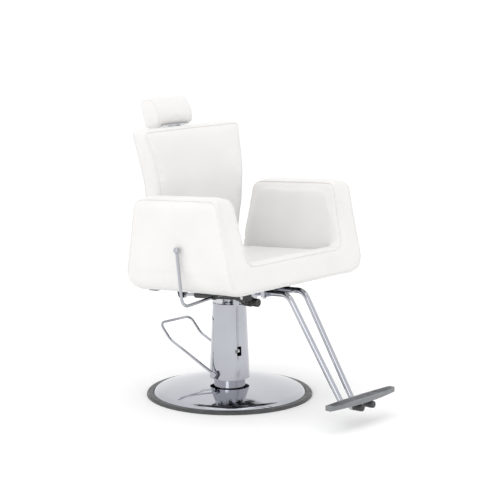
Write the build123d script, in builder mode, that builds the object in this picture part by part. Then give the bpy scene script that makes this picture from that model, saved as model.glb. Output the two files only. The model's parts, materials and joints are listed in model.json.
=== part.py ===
from build123d import *
from math import atan2, cos, hypot, radians, sin
import os

os.makedirs("parts", exist_ok=True)

# Hydraulic styling chair with a reclining back. Millimetres, +Z up.
# The origin is on the floor at the column axis, and the sitter faces -Y.

# --- base and pump column ---
BASE_R = 280.0  # outer radius of the rubber trim ring
RING_H = 10.0
DOME_R = 256.0
DOME_TOP = 42.0  # flat top of the dome, where the pump stands
DOME_FLAT_R = 76.0
SHEET = 2.0  # dome wall
FLANGE_R = 53.0
FLANGE_T = 16.0
BOLT_CIRCLE_R = 45.5
BLOCK_R = 38.0  # pump block and cylinder, outside
BLOCK_TOP = 98.0
CYL_BORE_R = 30.0
CYL_TOP = 275.0
SHROUD_Z = (60.0, 315.0)
SHROUD_R = (67.5, 56.5)  # bottom and top radius
SHROUD_T = 1.5
CAP_TOP = 318.0

# --- ram and swivel ---
RAM_R = 15.0
RAM_TOP = 338.0
SPINDLE_R = 10.0
FIT = 0.05  # radial running clearance of shafts
HUB_Z = 340.1  # underside of the seat hub, on the thrust washer
HUB_DISC_R = 38.0
HUB_R = 26.0
PLATE_Z = (368.0, 374.0)

# --- foot pedal ---
PEDAL_Z = 78.0  # height of its cross shaft
PEDAL_X = 75.0  # rods stand this far out on both sides
PEDAL_SHAFT_R = 7.0
PEDAL_ROD_R = 4.5
PEDAL_KNEE = (205.0, 168.0)  # y, z
PEDAL_BAR = (254.0, 219.0)
CAM_REACH = 22.0
GAP = 0.3  # free space between parts that only push each other
POCKET = 0.3  # room between a soft part and the board inside it

# --- seat shell, in the tilted seat frame; heights are from its pivot line ---
SEAT_TILT = 4.0  # degrees, rear lower
TILT_Z = 420.0
SHELL_BOTTOM = -25.0
ARM_TOP = 284.0
SHELL_HALF_W = 329.0
ARM_INNER_TOP = 251.0  # half width between the arms at their top
ARM_INNER_LOW = 232.0  # the same at seat height
FRONT_Y = (-315.0, -265.0)  # front edge at the bottom and at the arm top
REAR_Y = (169.0, 99.0)
SEAT_ROLL = 64.0  # top of the front roll
DECK = 20.0  # deck that the loose cushion lies on
SEAT_REAR = 139.5
BOARD_T = 18.0

# --- back, hinge and gas spring ---
HINGE_Y = 180.0
HINGE_Z = 398.0
TUBE_R = 11.0
PIN_R = 6.0
BACK_BOTTOM = 462.0
GAS_X = -52.0
GAS_FRONT = (-118.0, 356.0)  # y, z of the front eye
GAS_REAR = (166.0, 327.5)  # y, z of the rear eye
GAS_R = 11.0
GAS_ROD_R = 5.0
OPEN_EYE_R = 9.2  # rear eye, wide enough for the pin's small arc
LUG_PIN_R = 5.0

# --- recline lever ---
LEVER_Y = -114.0
LEVER_R = 5.0
LEVER_X = (-45.0, -347.0)
LEVER_Z = (392.0, 366.0)
BALL_AT = (-350.0, -93.0, 547.0)
BALL_R = 10.5

# --- swivel lock ---
LOCK_Z = 329.5
COLLAR_R = 24.0
LOCK_SCREW_R = 4.0

# --- headrest ---
TILT_PIVOT = (242.0, 886.0)  # y, z
POST_LEAN = 11.0
PILLOW_LEAN = 17.0
PILLOW_HALF_W = 82.0

# --- footrest ---
FOOT_TUBE_R = 9.5
FOOT_X = (40.0, 28.0)  # half spacing of the tubes at the top and at the plate
FOOT_TOP_LEVEL = -54.0  # seat frame
FOOT_KNEE = -288.0  # along the seat frame
FOOT_ANKLE = (-505.0, 60.0)
FOOT_TUBE_END = -578.0
PLATE_HALF_W = 166.0
FOOTPLATE_Z = (73.0, 88.0)

TILT = radians(SEAT_TILT)
SEAT = Plane(origin=(0, 0, TILT_Z), x_dir=(1, 0, 0), z_dir=(0, sin(TILT), cos(TILT)))
SEAT_SIDE = Plane(origin=SEAT.origin, x_dir=SEAT.y_dir, z_dir=(1, 0, 0))
SEAT_FRONT = Plane(origin=SEAT.origin, x_dir=(1, 0, 0), z_dir=-SEAT.y_dir)
UNDER = SHELL_BOTTOM - 0.3  # top of everything bolted on from below
BOTH_SIDES = (-1, 1)
STAND = (Align.CENTER, Align.CENTER, Align.MIN)
HANG = (Align.CENTER, Align.CENTER, Align.MAX)


def save(builder, name):
    """Label a finished piece and write it as its own STEP file."""
    builder.part.label = name
    export_step(builder.part, f"parts/{name}.step")


def lean_plane(angle, origin):
    """Side plane through origin: local x to the rear, local y up along the lean."""
    a = radians(angle)
    return Plane(origin=origin, x_dir=(0, cos(a), -sin(a)), z_dir=(1, 0, 0))


def seat_point(x, y, z):
    """A point of the tilted seat frame in the chair's frame."""
    return SEAT.from_local_coords(Vector(x, y, z))


def lever_height(x):
    """Height of the recline lever's inner run at x."""
    share = (x - LEVER_X[0]) / (LEVER_X[1] - LEVER_X[0])
    return LEVER_Z[0] + (LEVER_Z[1] - LEVER_Z[0]) * share


def arm_edge(ends, z):
    """Front or rear edge of an arm at height z of the seat frame."""
    return ends[0] + (ends[1] - ends[0]) * (z - SHELL_BOTTOM) / (ARM_TOP - SHELL_BOTTOM)


# ============================ base ============================
RING_INNER_R = DOME_R + 1.0
RING_LEDGE_R = DOME_R - 8.0
WEIGHT_R = RING_LEDGE_R - 2.0
WEIGHT_SLOPE = ((WEIGHT_R, 6.0), (150.0, 12.0), (95.0, 18.0))  # r, z of its top, outside in
WEIGHT_BOSS_R = DOME_FLAT_R - 6.0
CENTRE_HOLE_R = 20.0
BOLT_R = 4.0
BOLT_CLEAR = 0.3
BOLT_LENGTH = 34.0
BOLT_COUNT = 6
BOLT_START = 12.0  # degrees
WASHER = (7.0, 1.2)  # radius, thickness
BOLT_HEAD = (6.8, 5.5)  # corner radius, height
PLUNGER_R = 6.0
PLUNGER_TOP = PEDAL_Z - 7.3 - GAP
PIT_FLOOR = PEDAL_Z - 13.0
BUSH_R = 9.0

with BuildPart() as base_plate:
    with BuildSketch(Plane.XZ):
        with BuildLine():
            Polyline((0, 0), (WEIGHT_R, 0), *WEIGHT_SLOPE, (WEIGHT_BOSS_R, DOME_TOP - 4 * SHEET),
                     (WEIGHT_BOSS_R, DOME_TOP - SHEET), (0, DOME_TOP - SHEET))
            Line((0, DOME_TOP - SHEET), (0, 0))
        make_face()
    revolve(axis=Axis.Z)
    with Locations((0, 0, DOME_TOP - SHEET)):
        with PolarLocations(BOLT_CIRCLE_R, BOLT_COUNT, start_angle=BOLT_START):
            Cylinder(BOLT_R, BOLT_LENGTH - FLANGE_T, align=HANG, mode=Mode.SUBTRACT)
save(base_plate, "base_plate")

RIM_START = (DOME_R - 16.0, 21.0)  # r, z where the dome's rolled rim begins
RIM_FOOT = 9.0
DOME_MIDDLE = (165.0, 36.0)

with BuildPart() as base_dome:
    with BuildSketch(Plane.XZ):
        with BuildLine():
            outer = ThreePointArc(RIM_START, DOME_MIDDLE, (DOME_FLAT_R, DOME_TOP))
            rim = TangentArc(RIM_START, (DOME_R, RIM_FOOT), tangent=outer % 0 * -1)
            Polyline(outer @ 1, (CENTRE_HOLE_R, DOME_TOP), (CENTRE_HOLE_R, DOME_TOP - SHEET),
                     (DOME_FLAT_R, DOME_TOP - SHEET))
            inner = ThreePointArc((DOME_FLAT_R, DOME_TOP - SHEET), (DOME_MIDDLE[0], DOME_MIDDLE[1] - SHEET),
                                  (RIM_START[0] - 0.5, RIM_START[1] - SHEET))
            inner_rim = TangentArc(inner @ 1, (DOME_R - 2 * SHEET, 7.6), tangent=inner % 1)
            Polyline(inner_rim @ 1, (DOME_R, 7.6), rim @ 1)
        make_face()
    revolve(axis=Axis.Z)
    with PolarLocations(BOLT_CIRCLE_R, BOLT_COUNT, start_angle=BOLT_START):
        Cylinder(BOLT_R + BOLT_CLEAR, 4 * DOME_TOP, mode=Mode.SUBTRACT)
save(base_dome, "base_dome")

with BuildPart() as trim_ring:
    with BuildSketch(Plane.XZ) as section:
        with BuildLine():
            Polyline((RING_LEDGE_R, 0), (BASE_R, 0), (BASE_R, 4), (BASE_R - 5, RING_H),
                     (RING_INNER_R, RING_H), (RING_INNER_R, 7), (RING_LEDGE_R, 7), (RING_LEDGE_R, 0))
        make_face()
        fillet(section.vertices().group_by(Axis.Y)[-1], 1.2)
    revolve(axis=Axis.Z)
save(trim_ring, "trim_ring")

# ============================ pump ============================
with BuildPart(Plane.XY.offset(DOME_TOP)) as pump_block:
    Cylinder(FLANGE_R, FLANGE_T, align=STAND)
    fillet(pump_block.edges().group_by(Axis.Z)[-1], 2)
    Cylinder(BLOCK_R, BLOCK_TOP - DOME_TOP, align=STAND)
    with PolarLocations(BOLT_CIRCLE_R, BOLT_COUNT, start_angle=BOLT_START):
        Cylinder(BOLT_R + BOLT_CLEAR, 4 * FLANGE_T, mode=Mode.SUBTRACT)
    with Locations((0, 0, PEDAL_Z - DOME_TOP)):
        Cylinder(BUSH_R, 2 * BLOCK_R + 2, rotation=(0, 90, 0), mode=Mode.SUBTRACT)
    with Locations((0, 16, PIT_FLOOR - DOME_TOP)):
        Box(22, 60, BLOCK_TOP - 5 - PIT_FLOOR, align=STAND, mode=Mode.SUBTRACT)
    with Locations((0, CAM_REACH, PIT_FLOOR - DOME_TOP)):
        Cylinder(PLUNGER_R + FIT, 14, align=HANG, mode=Mode.SUBTRACT)
save(pump_block, "pump_block")

with BuildPart() as flange_bolts:
    with Locations((0, 0, DOME_TOP + FLANGE_T)):
        with PolarLocations(BOLT_CIRCLE_R, BOLT_COUNT, start_angle=BOLT_START):
            Cylinder(BOLT_R, BOLT_LENGTH, align=HANG)
            Cylinder(*WASHER, align=STAND)
    with BuildSketch(Plane.XY.offset(DOME_TOP + FLANGE_T + WASHER[1])):
        with PolarLocations(BOLT_CIRCLE_R, BOLT_COUNT, start_angle=BOLT_START):
            RegularPolygon(BOLT_HEAD[0], 6)
    extrude(amount=BOLT_HEAD[1])
save(flange_bolts, "flange_bolts")

with BuildPart() as pump_cylinder:
    with BuildSketch(Plane.XY.offset(BLOCK_TOP)):
        Circle(BLOCK_R)
    extrude(amount=CYL_TOP - BLOCK_TOP)
    with BuildSketch(Plane.XY.offset(BLOCK_TOP + 6)):
        Circle(CYL_BORE_R)
    extrude(amount=CYL_TOP, mode=Mode.SUBTRACT)
save(pump_cylinder, "pump_cylinder")

GLAND_DEPTH = 14.0
GLAND_HEAD_H = 7.0
WIPER_R = 22.0
WIPER_FOOT = CYL_TOP + 3.0

with BuildPart() as gland_nut:
    with BuildSketch(Plane.XY.offset(CYL_TOP - GLAND_DEPTH)):
        Circle(CYL_BORE_R)
    extrude(amount=GLAND_DEPTH)
    with BuildSketch(Plane.XY.offset(CYL_TOP)):
        RegularPolygon(BLOCK_R - 2, 6)
    extrude(amount=GLAND_HEAD_H)
    with BuildSketch(Plane.XY.offset(CYL_TOP - GLAND_DEPTH)):
        Circle(RAM_R + FIT)
    extrude(amount=GLAND_DEPTH + GLAND_HEAD_H, mode=Mode.SUBTRACT)
    with BuildSketch(Plane.XY.offset(WIPER_FOOT)):
        Circle(WIPER_R)
    extrude(amount=GLAND_HEAD_H, mode=Mode.SUBTRACT)
save(gland_nut, "gland_nut")

with BuildPart() as ram_wiper:
    with BuildSketch(Plane.XY.offset(WIPER_FOOT)):
        Circle(WIPER_R)
        Circle(RAM_R + FIT, mode=Mode.SUBTRACT)
    extrude(amount=GLAND_HEAD_H - 1)
    chamfer(ram_wiper.edges().group_by(Axis.Z)[-1].sort_by(SortBy.RADIUS)[-1], 2)
save(ram_wiper, "ram_wiper")

WINDOW_AT = -107.0  # degrees round the column
WINDOW_Z = 158.0
WINDOW_SIZE = (17.0, 32.0, 3.0)  # width, height, corner radius
PANEL_HALF_W = 21.5  # recessed side panel round the pedal shaft
PANEL_TOP = 150.0
PANEL_DEPTH = 1.2
PANEL_LAP = 6.0
SLOT_W = 17.0

WINDOW = Plane(origin=(0, 0, WINDOW_Z), z_dir=(cos(radians(WINDOW_AT)), sin(radians(WINDOW_AT)), 0))

VALVE_BODY = (6.5, 14.0)  # radius, length
VALVE_HEX = (5.0, 7.0)

with BuildPart() as valve_screw:
    with BuildSketch(WINDOW.offset(BLOCK_R + POCKET)):
        Circle(VALVE_BODY[0])
    extrude(amount=VALVE_BODY[1])
    with BuildSketch(WINDOW.offset(BLOCK_R + VALVE_BODY[1])):
        RegularPolygon(VALVE_HEX[0], 6)
    extrude(amount=VALVE_HEX[1])
save(valve_screw, "valve_screw")



def shroud_shell(inset, wall):
    """Wall of the conical shroud, set in from its outer face."""
    outer = [(radius - inset, z) for radius, z in zip(SHROUD_R, SHROUD_Z)]
    inner = [(radius - wall, z) for radius, z in reversed(outer)]
    with BuildPart() as shell:
        with BuildSketch(Plane.XZ):
            with BuildLine():
                Polyline(*outer, *inner, close=True)
            make_face()
        revolve(axis=Axis.Z)
    return shell.part


with BuildPart() as side_panels:
    add(shroud_shell(PANEL_DEPTH, 1.3))
    with Locations((0, 0, SHROUD_Z[0])):
        Box(300, 2 * (PANEL_HALF_W + PANEL_LAP),
            2 * (PANEL_TOP + PANEL_LAP - SHROUD_Z[0]), mode=Mode.INTERSECT)

with BuildPart() as column_shroud:
    add(shroud_shell(0, SHROUD_T))
    with Locations((0, 0, SHROUD_Z[0])):
        Box(300, 2 * PANEL_HALF_W, 2 * (PANEL_TOP - SHROUD_Z[0]), mode=Mode.SUBTRACT)
    add(side_panels.part)
    with BuildSketch(Plane.YZ):
        with Locations((0, SHROUD_Z[0])):
            Rectangle(SLOT_W, 2 * (PEDAL_Z - SHROUD_Z[0]))
        with Locations((0, PEDAL_Z)):
            Circle(SLOT_W / 2)
    extrude(amount=2 * FLANGE_R, both=True, mode=Mode.SUBTRACT)
    with BuildSketch(WINDOW):
        RectangleRounded(*WINDOW_SIZE)
    extrude(amount=2 * FLANGE_R, mode=Mode.SUBTRACT)
save(column_shroud, "column_shroud")

with BuildPart() as shroud_cap:
    with BuildSketch(Plane.XZ):
        with BuildLine():
            Polyline((RAM_R + 1.5, CAP_TOP - 2.5), (RAM_R + 1.5, CAP_TOP), (SHROUD_R[1] - 1, CAP_TOP))
            TangentArc((SHROUD_R[1] - 1, CAP_TOP), (SHROUD_R[1] + 1.5, CAP_TOP - 2.5), tangent=(1, 0))
            Polyline((SHROUD_R[1] + 1.5, CAP_TOP - 2.5), (SHROUD_R[1] + 1.5, SHROUD_Z[1] - 6),
                     (SHROUD_R[1] + 0.6, SHROUD_Z[1] - 6), (SHROUD_R[1] + 0.6, SHROUD_Z[1] + 0.3),
                     (RAM_R + 1.5, CAP_TOP - 2.5))
        make_face()
    revolve(axis=Axis.Z)
save(shroud_cap, "shroud_cap")

# ============================ foot pedal ============================
HUB_X = (69.5, 84.0)
CAM_HALF = 9.0

with BuildPart(Plane.YZ) as shaft_bushes:
    for side in BOTH_SIDES:
        with Locations((0, PEDAL_Z, side * (BLOCK_R - 11))):
            Cylinder(BUSH_R, 18)
            Cylinder(PEDAL_SHAFT_R + FIT, 20, mode=Mode.SUBTRACT)
save(shaft_bushes, "shaft_bushes")

with BuildPart(Plane.YZ) as pedal_shaft:
    with Locations((0, PEDAL_Z, 0)):
        Cylinder(PEDAL_SHAFT_R, 2 * (HUB_X[1] - 3))
    chamfer(pedal_shaft.edges().filter_by(GeomType.CIRCLE), 1)
save(pedal_shaft, "pedal_shaft")

arm_angle = atan2(PEDAL_KNEE[1] - PEDAL_Z, PEDAL_KNEE[0])
arm_start = (9 * cos(arm_angle), PEDAL_Z + 9 * sin(arm_angle))

with BuildPart() as pedal_hubs:
    for side in BOTH_SIDES:
        with BuildSketch(Plane.YZ.offset(side * HUB_X[0])):
            with Locations((0, PEDAL_Z)):
                Circle(11.5)
        extrude(amount=side * (HUB_X[1] - HUB_X[0]))
    fillet(pedal_hubs.edges().filter_by(GeomType.CIRCLE), 1.5)
    for side in BOTH_SIDES:
        with BuildSketch(Plane(origin=(side * PEDAL_X, *arm_start), z_dir=(0, cos(arm_angle), sin(arm_angle)))):
            Circle(PEDAL_ROD_R)
        extrude(amount=20, mode=Mode.SUBTRACT)
    with BuildSketch(Plane.YZ):
        with Locations((0, PEDAL_Z)):
            Circle(PEDAL_SHAFT_R)
    extrude(amount=HUB_X[1] - 3, both=True, mode=Mode.SUBTRACT)
save(pedal_hubs, "pedal_hubs")

with BuildPart() as pedal_rod:
    with BuildLine() as path:
        FilletPolyline(
            (-PEDAL_X, *arm_start), (-PEDAL_X, *PEDAL_KNEE), (-PEDAL_X, *PEDAL_BAR),
            (PEDAL_X, *PEDAL_BAR), (PEDAL_X, *PEDAL_KNEE), (PEDAL_X, *arm_start),
            radius=[70, 22, 22, 70])
    with BuildSketch(Plane(origin=path.line @ 0, z_dir=path.line % 0)):
        Circle(PEDAL_ROD_R)
    sweep(path=path.line)
save(pedal_rod, "pedal_rod")

with BuildPart() as pump_cam:
    with BuildSketch(Plane.YZ.offset(-CAM_HALF)):
        with Locations((0, PEDAL_Z)):
            Circle(12)
        with Locations((CAM_REACH, PEDAL_Z)):
            Circle(5)
        make_hull()
        with Locations((0, PEDAL_Z)):
            Circle(PEDAL_SHAFT_R, mode=Mode.SUBTRACT)
    extrude(amount=2 * CAM_HALF)
save(pump_cam, "pump_cam")

with BuildPart() as plunger:
    with Locations((0, CAM_REACH, PLUNGER_TOP)):
        Cylinder(PLUNGER_R, 13, align=HANG)
    chamfer(plunger.edges().group_by(Axis.Z)[-1], 1)
save(plunger, "plunger")

with BuildPart() as pedal_spring:
    with BuildLine() as coil:
        Helix(pitch=3.4, height=13.6, radius=PEDAL_SHAFT_R + 3,
              center=(BLOCK_R + 4, 0, PEDAL_Z), direction=(1, 0, 0))
    with BuildSketch(Plane(origin=coil.line @ 0, z_dir=coil.line % 0)):
        Circle(1.1)
    sweep(path=coil.line, is_frenet=True)
save(pedal_spring, "pedal_spring")

# ============================ ram ============================
RAM_FOOT = BLOCK_TOP + 8.0

with BuildPart() as ram:
    with BuildSketch(Plane.XY.offset(RAM_FOOT)):
        Circle(CYL_BORE_R - FIT)
    extrude(amount=10)
    with BuildSketch(Plane.XY.offset(RAM_FOOT)):
        Circle(RAM_R)
    extrude(amount=RAM_TOP - RAM_FOOT)
    with BuildSketch(Plane.XY.offset(RAM_FOOT + 12)):
        Circle(SPINDLE_R + FIT)
    extrude(amount=RAM_TOP, mode=Mode.SUBTRACT)
save(ram, "ram")

with BuildPart() as thrust_washer:
    with BuildSketch(Plane.XY.offset(RAM_TOP)):
        Circle(20)
        Circle(SPINDLE_R + FIT, mode=Mode.SUBTRACT)
    extrude(amount=2)
save(thrust_washer, "thrust_washer")

# ============================ seat frame ============================
with BuildPart() as spindle:
    with Locations((0, 0, RAM_FOOT + 20)):
        Cylinder(SPINDLE_R, PLATE_Z[0] - RAM_FOOT - 20, align=STAND)
    chamfer(spindle.edges().group_by(Axis.Z)[0], 1.5)
save(spindle, "spindle")

with BuildPart() as seat_hub:
    with Locations((0, 0, HUB_Z)):
        Cylinder(HUB_DISC_R, 5, align=STAND)
        Cylinder(HUB_R, PLATE_Z[0] - HUB_Z, align=STAND)
    fillet(seat_hub.edges().group_by(Axis.Z)[0], 1.5)
    Cylinder(SPINDLE_R, 2 * PLATE_Z[0], mode=Mode.SUBTRACT)
save(seat_hub, "seat_hub")

PLATE_BOLTS = ((75.0, -60.0), (75.0, 72.0))
PLATE_BOLT_R = 4.0
PLATE_BOLT_CLEAR_R = 4.2
PLATE_SIZE = (196.0, 175.0)
PLATE_MIDDLE = 7.5  # its centre lies this far behind the column
RIB_X = (60.0, 86.0)
RIB_T = 4.0

with BuildPart() as mount_frame:
    with BuildSketch(Plane.XY.offset(PLATE_Z[0])):
        with Locations((0, PLATE_MIDDLE)):
            RectangleRounded(*PLATE_SIZE, 12)
    extrude(amount=PLATE_Z[1] - PLATE_Z[0])
    for side in BOTH_SIDES:
        for x in RIB_X:
            with Locations((side * (x + RIB_T / 2), PLATE_MIDDLE, PLATE_Z[0] + 1)):
                Box(RIB_T, PLATE_SIZE[1] - 10, 50, align=STAND)
        with Locations(*[(side * x, y) for x, y in PLATE_BOLTS]):
            Cylinder(PLATE_BOLT_CLEAR_R, 3 * PLATE_Z[1], mode=Mode.SUBTRACT)
    split(bisect_by=SEAT.offset(SHELL_BOTTOM + 0.7), keep=Keep.BOTTOM)
save(mount_frame, "mount_frame")

STRAP_Y = (-205.0, 85.0)
STRAP_SCREW_X = (205.0, 263.5)
CLAMP_BOLT_X = 56.0
CLAMP_BLOCKS = ((-208.0, -192.0), (-168.0, -152.0))
CLAMP_DROP = FOOT_TOP_LEVEL - 12
CLAMP_W = 130.0
CLAMP_BOLT_R = 3.5
CLAMP_BOLT_CLEAR_R = 3.7
SCREW_R = 3.0
SCREW_CLEAR_R = 3.2
SCREW_HEAD = (6.2, 2.6)  # radius, height
SCREW_LENGTH = 19.0
STRAP = (98.0, 36.0, 3.4)
STRAP_MIDDLE = 231.0

with BuildPart() as seat_fasteners:
    for side in BOTH_SIDES:
        with Locations(*[(side * x, y, PLATE_Z[0]) for x, y in PLATE_BOLTS]):
            Cylinder(PLATE_BOLT_R, 38, align=STAND)
            Cylinder(8, 1.2, align=HANG)
        with BuildSketch(Plane.XY.offset(PLATE_Z[0] - 1.2)):
            with Locations(*[(side * x, y) for x, y in PLATE_BOLTS]):
                RegularPolygon(6.5, 6)
        extrude(amount=-5)
    for side in BOTH_SIDES:
        with BuildSketch(SEAT.offset(UNDER - STRAP[2])):
            with Locations(*[(side * x, y) for x in STRAP_SCREW_X for y in STRAP_Y]):
                Circle(SCREW_R)
        extrude(amount=SCREW_LENGTH)
        with BuildSketch(SEAT.offset(UNDER - STRAP[2])):
            with Locations(*[(side * x, y) for x in STRAP_SCREW_X for y in STRAP_Y]):
                Circle(SCREW_HEAD[0])
        extrude(amount=-SCREW_HEAD[1])
        with BuildSketch(SEAT.offset(CLAMP_DROP)):
            with Locations(*[(side * CLAMP_BOLT_X, (low + high) / 2) for low, high in CLAMP_BLOCKS]):
                Circle(CLAMP_BOLT_R)
        extrude(amount=-CLAMP_DROP - 12)
        with BuildSketch(SEAT.offset(CLAMP_DROP)):
            with Locations(*[(side * CLAMP_BOLT_X, (low + high) / 2) for low, high in CLAMP_BLOCKS]):
                Circle(6)
        extrude(amount=-5)
save(seat_fasteners, "seat_fasteners")

BOARD_HALF_W = 226.0
BOARD_Y = (-272.0, SEAT_REAR - 0.5)

with BuildPart() as seat_board:
    with BuildSketch(SEAT.offset(SHELL_BOTTOM + 1)):
        with Locations((0, (BOARD_Y[0] + BOARD_Y[1]) / 2)):
            RectangleRounded(2 * BOARD_HALF_W, BOARD_Y[1] - BOARD_Y[0], 20)
    extrude(amount=BOARD_T)
    with BuildSketch(Plane.XY.offset(PLATE_Z[1])):
        with Locations(*[(side * x, y) for side in BOTH_SIDES for x, y in PLATE_BOLTS]):
            Circle(PLATE_BOLT_CLEAR_R)
    extrude(amount=100, mode=Mode.SUBTRACT)
    with BuildSketch(SEAT.offset(SHELL_BOTTOM)):
        with Locations(*[(side * STRAP_SCREW_X[0], y) for side in BOTH_SIDES for y in STRAP_Y]):
            Circle(SCREW_CLEAR_R)
        with Locations(*[(side * CLAMP_BOLT_X, (low + high) / 2)
                         for side in BOTH_SIDES for low, high in CLAMP_BLOCKS]):
            Circle(CLAMP_BOLT_CLEAR_R)
    extrude(amount=BOARD_T - 2, mode=Mode.SUBTRACT)
save(seat_board, "seat_board")

ARM_BOARD_X = (256.0, 271.0)
ARM_BOARD_TOP = 240.0


def arm_board_outline(grow):
    """Outline of an arm board in the side plane, grown by grow."""
    low = SHELL_BOTTOM + 1 - 3 * grow
    Polyline((arm_edge(FRONT_Y, low) + 50 - grow, low),
             (arm_edge(FRONT_Y, ARM_BOARD_TOP) + 34 - grow, ARM_BOARD_TOP + grow),
             (arm_edge(REAR_Y, ARM_BOARD_TOP) - 34 + grow, ARM_BOARD_TOP + grow),
             (arm_edge(REAR_Y, low) - 40 + grow, low), close=True)


with BuildPart() as arm_boards:
    for side in BOTH_SIDES:
        with BuildSketch(SEAT_SIDE.offset(side * ARM_BOARD_X[0])):
            with BuildLine():
                arm_board_outline(0)
            make_face()
        extrude(amount=side * (ARM_BOARD_X[1] - ARM_BOARD_X[0]))
    with BuildSketch(SEAT.offset(SHELL_BOTTOM)):
        with Locations(*[(side * STRAP_SCREW_X[1], y) for side in BOTH_SIDES for y in STRAP_Y]):
            Circle(SCREW_CLEAR_R)
    extrude(amount=BOARD_T - 2, mode=Mode.SUBTRACT)
save(arm_boards, "arm_boards")

with BuildPart(SEAT) as frame_straps:
    for side in BOTH_SIDES:
        for y in STRAP_Y:
            with Locations((side * STRAP_MIDDLE, y, UNDER)):
                Box(*STRAP, align=HANG)
            with Locations(*[(side * x, y, UNDER) for x in STRAP_SCREW_X]):
                Cylinder(SCREW_CLEAR_R, 4 * STRAP[2], mode=Mode.SUBTRACT)
save(frame_straps, "frame_straps")

# ============================ upholstery ============================
SECTION_R = 30.0  # rounding along the top of an arm
LOW_CORNER_R = 64.0  # outer lower corner of the shell
SIDE_TOP_R = 40.0  # upper corners of an arm, seen from the side
SIDE_FRONT_R = 18.0  # its lower front corner
SIDE_REAR_R = 44.0  # its lower rear corner
ROLL_REAR = -262.0  # rear edge of the front roll
ROLL_R = 17.0
CUSHION = (448.0, 378.0, 38.0)
CUSHION_MIDDLE = -71.0


with BuildPart() as arm_pad_right:
    with BuildSketch(SEAT_FRONT.offset(-400)) as section:
        with BuildLine():
            Polyline((-ARM_INNER_LOW, SHELL_BOTTOM), (-SHELL_HALF_W, SHELL_BOTTOM),
                     (-SHELL_HALF_W, ARM_TOP), (-ARM_INNER_TOP, ARM_TOP),
                     (-ARM_INNER_LOW, SEAT_ROLL), close=True)
        make_face()
        fillet(section.vertices().group_by(Axis.Y)[-1], SECTION_R)
        fillet(section.vertices().group_by(Axis.Y)[0].sort_by(Axis.X)[0], LOW_CORNER_R)
    extrude(amount=800)
    with BuildSketch(SEAT_SIDE.offset(-200)) as outline:
        with BuildLine():
            Polyline((FRONT_Y[0], SHELL_BOTTOM), (FRONT_Y[1], ARM_TOP), (REAR_Y[1], ARM_TOP),
                     (REAR_Y[0], SHELL_BOTTOM), close=True)
        make_face()
        fillet(outline.vertices().group_by(Axis.Y)[-1], SIDE_TOP_R)
        fillet(outline.vertices().group_by(Axis.Y)[0].sort_by(Axis.X)[0], SIDE_FRONT_R)
        fillet(outline.vertices().group_by(Axis.Y)[0].sort_by(Axis.X)[-1], SIDE_REAR_R)
    extrude(amount=-200, mode=Mode.INTERSECT)
    with BuildSketch(SEAT_SIDE.offset(POCKET - ARM_BOARD_X[0])):
        with BuildLine():
            arm_board_outline(POCKET * 2)
        make_face()
    extrude(amount=ARM_BOARD_X[0] - ARM_BOARD_X[1] - 2 * POCKET, mode=Mode.SUBTRACT)
save(arm_pad_right, "arm_pad_right")

with BuildPart() as arm_pad_left:
    mirror(arm_pad_right.part, about=Plane.YZ)
save(arm_pad_left, "arm_pad_left")

with BuildPart() as seat_base_pad:
    half = ARM_INNER_LOW - POCKET
    with BuildSketch(SEAT_SIDE.offset(-half)) as outline:
        with BuildLine():
            Polyline((FRONT_Y[0], SHELL_BOTTOM), (arm_edge(FRONT_Y, SEAT_ROLL), SEAT_ROLL),
                     (ROLL_REAR, SEAT_ROLL), (ROLL_REAR, DECK), (SEAT_REAR, DECK),
                     (SEAT_REAR, SHELL_BOTTOM), close=True)
        make_face()
        fillet(outline.vertices().group_by(Axis.Y)[-1], ROLL_R)
        fillet(outline.vertices().group_by(Axis.Y)[0].sort_by(Axis.X)[0], SIDE_FRONT_R)
    extrude(amount=2 * half)
    with BuildSketch(SEAT.offset(SHELL_BOTTOM - 1)):
        with Locations((0, BOARD_Y[0] - POCKET)):
            Rectangle(2 * (BOARD_HALF_W + POCKET), 500, align=(Align.CENTER, Align.MIN))
    extrude(amount=BOARD_T + 2 + POCKET, mode=Mode.SUBTRACT)
save(seat_base_pad, "seat_base_pad")

with BuildPart() as seat_cushion:
    with BuildSketch(SEAT.offset(DECK + 0.5)):
        with Locations((0, CUSHION_MIDDLE)):
            RectangleRounded(CUSHION[0], CUSHION[1], 24)
    extrude(amount=CUSHION[2])
    fillet(seat_cushion.faces().sort_by(Axis.Z)[-1].edges(), 12)
save(seat_cushion, "seat_cushion")

# ============================ back hinge and gas spring bracket ============================
CHEEK_X = (175.0, 181.0)
BRACKET_X = (14.0, 18.0)  # cheeks of the spring bracket, from the spring's axis
BRACKET_T = 4.0
CAM_X = (-59.0, -47.0)
CAM_ROOM = (20.0, 40.0)  # window over the cam, so that it can turn
LEVER_AXIS = Plane(origin=(LEVER_X[0], LEVER_Y, LEVER_Z[0]),
                   z_dir=(LEVER_X[1] - LEVER_X[0], 0, LEVER_Z[1] - LEVER_Z[0]))

with BuildPart() as hinge_cheeks:
    for side in BOTH_SIDES:
        with BuildSketch(SEAT_SIDE.offset(side * CHEEK_X[0])) as outline:
            with BuildLine():
                Polyline((40, UNDER), (40, UNDER - 8), (150, UNDER - 12), (196, -30), (202, -8),
                         (180, 10), (150, 6), (144, UNDER), close=True)
            make_face()
        extrude(amount=side * (CHEEK_X[1] - CHEEK_X[0]))
        with BuildSketch(SEAT.offset(UNDER)):
            with Locations((side * (CHEEK_X[0] - 14), 88)):
                Rectangle(30, 96)
        extrude(amount=-4)
    with BuildSketch(Plane.YZ):
        with Locations((HINGE_Y, HINGE_Z)):
            Circle(PIN_R)
    extrude(amount=300, both=True, mode=Mode.SUBTRACT)
save(hinge_cheeks, "hinge_cheeks")

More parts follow.
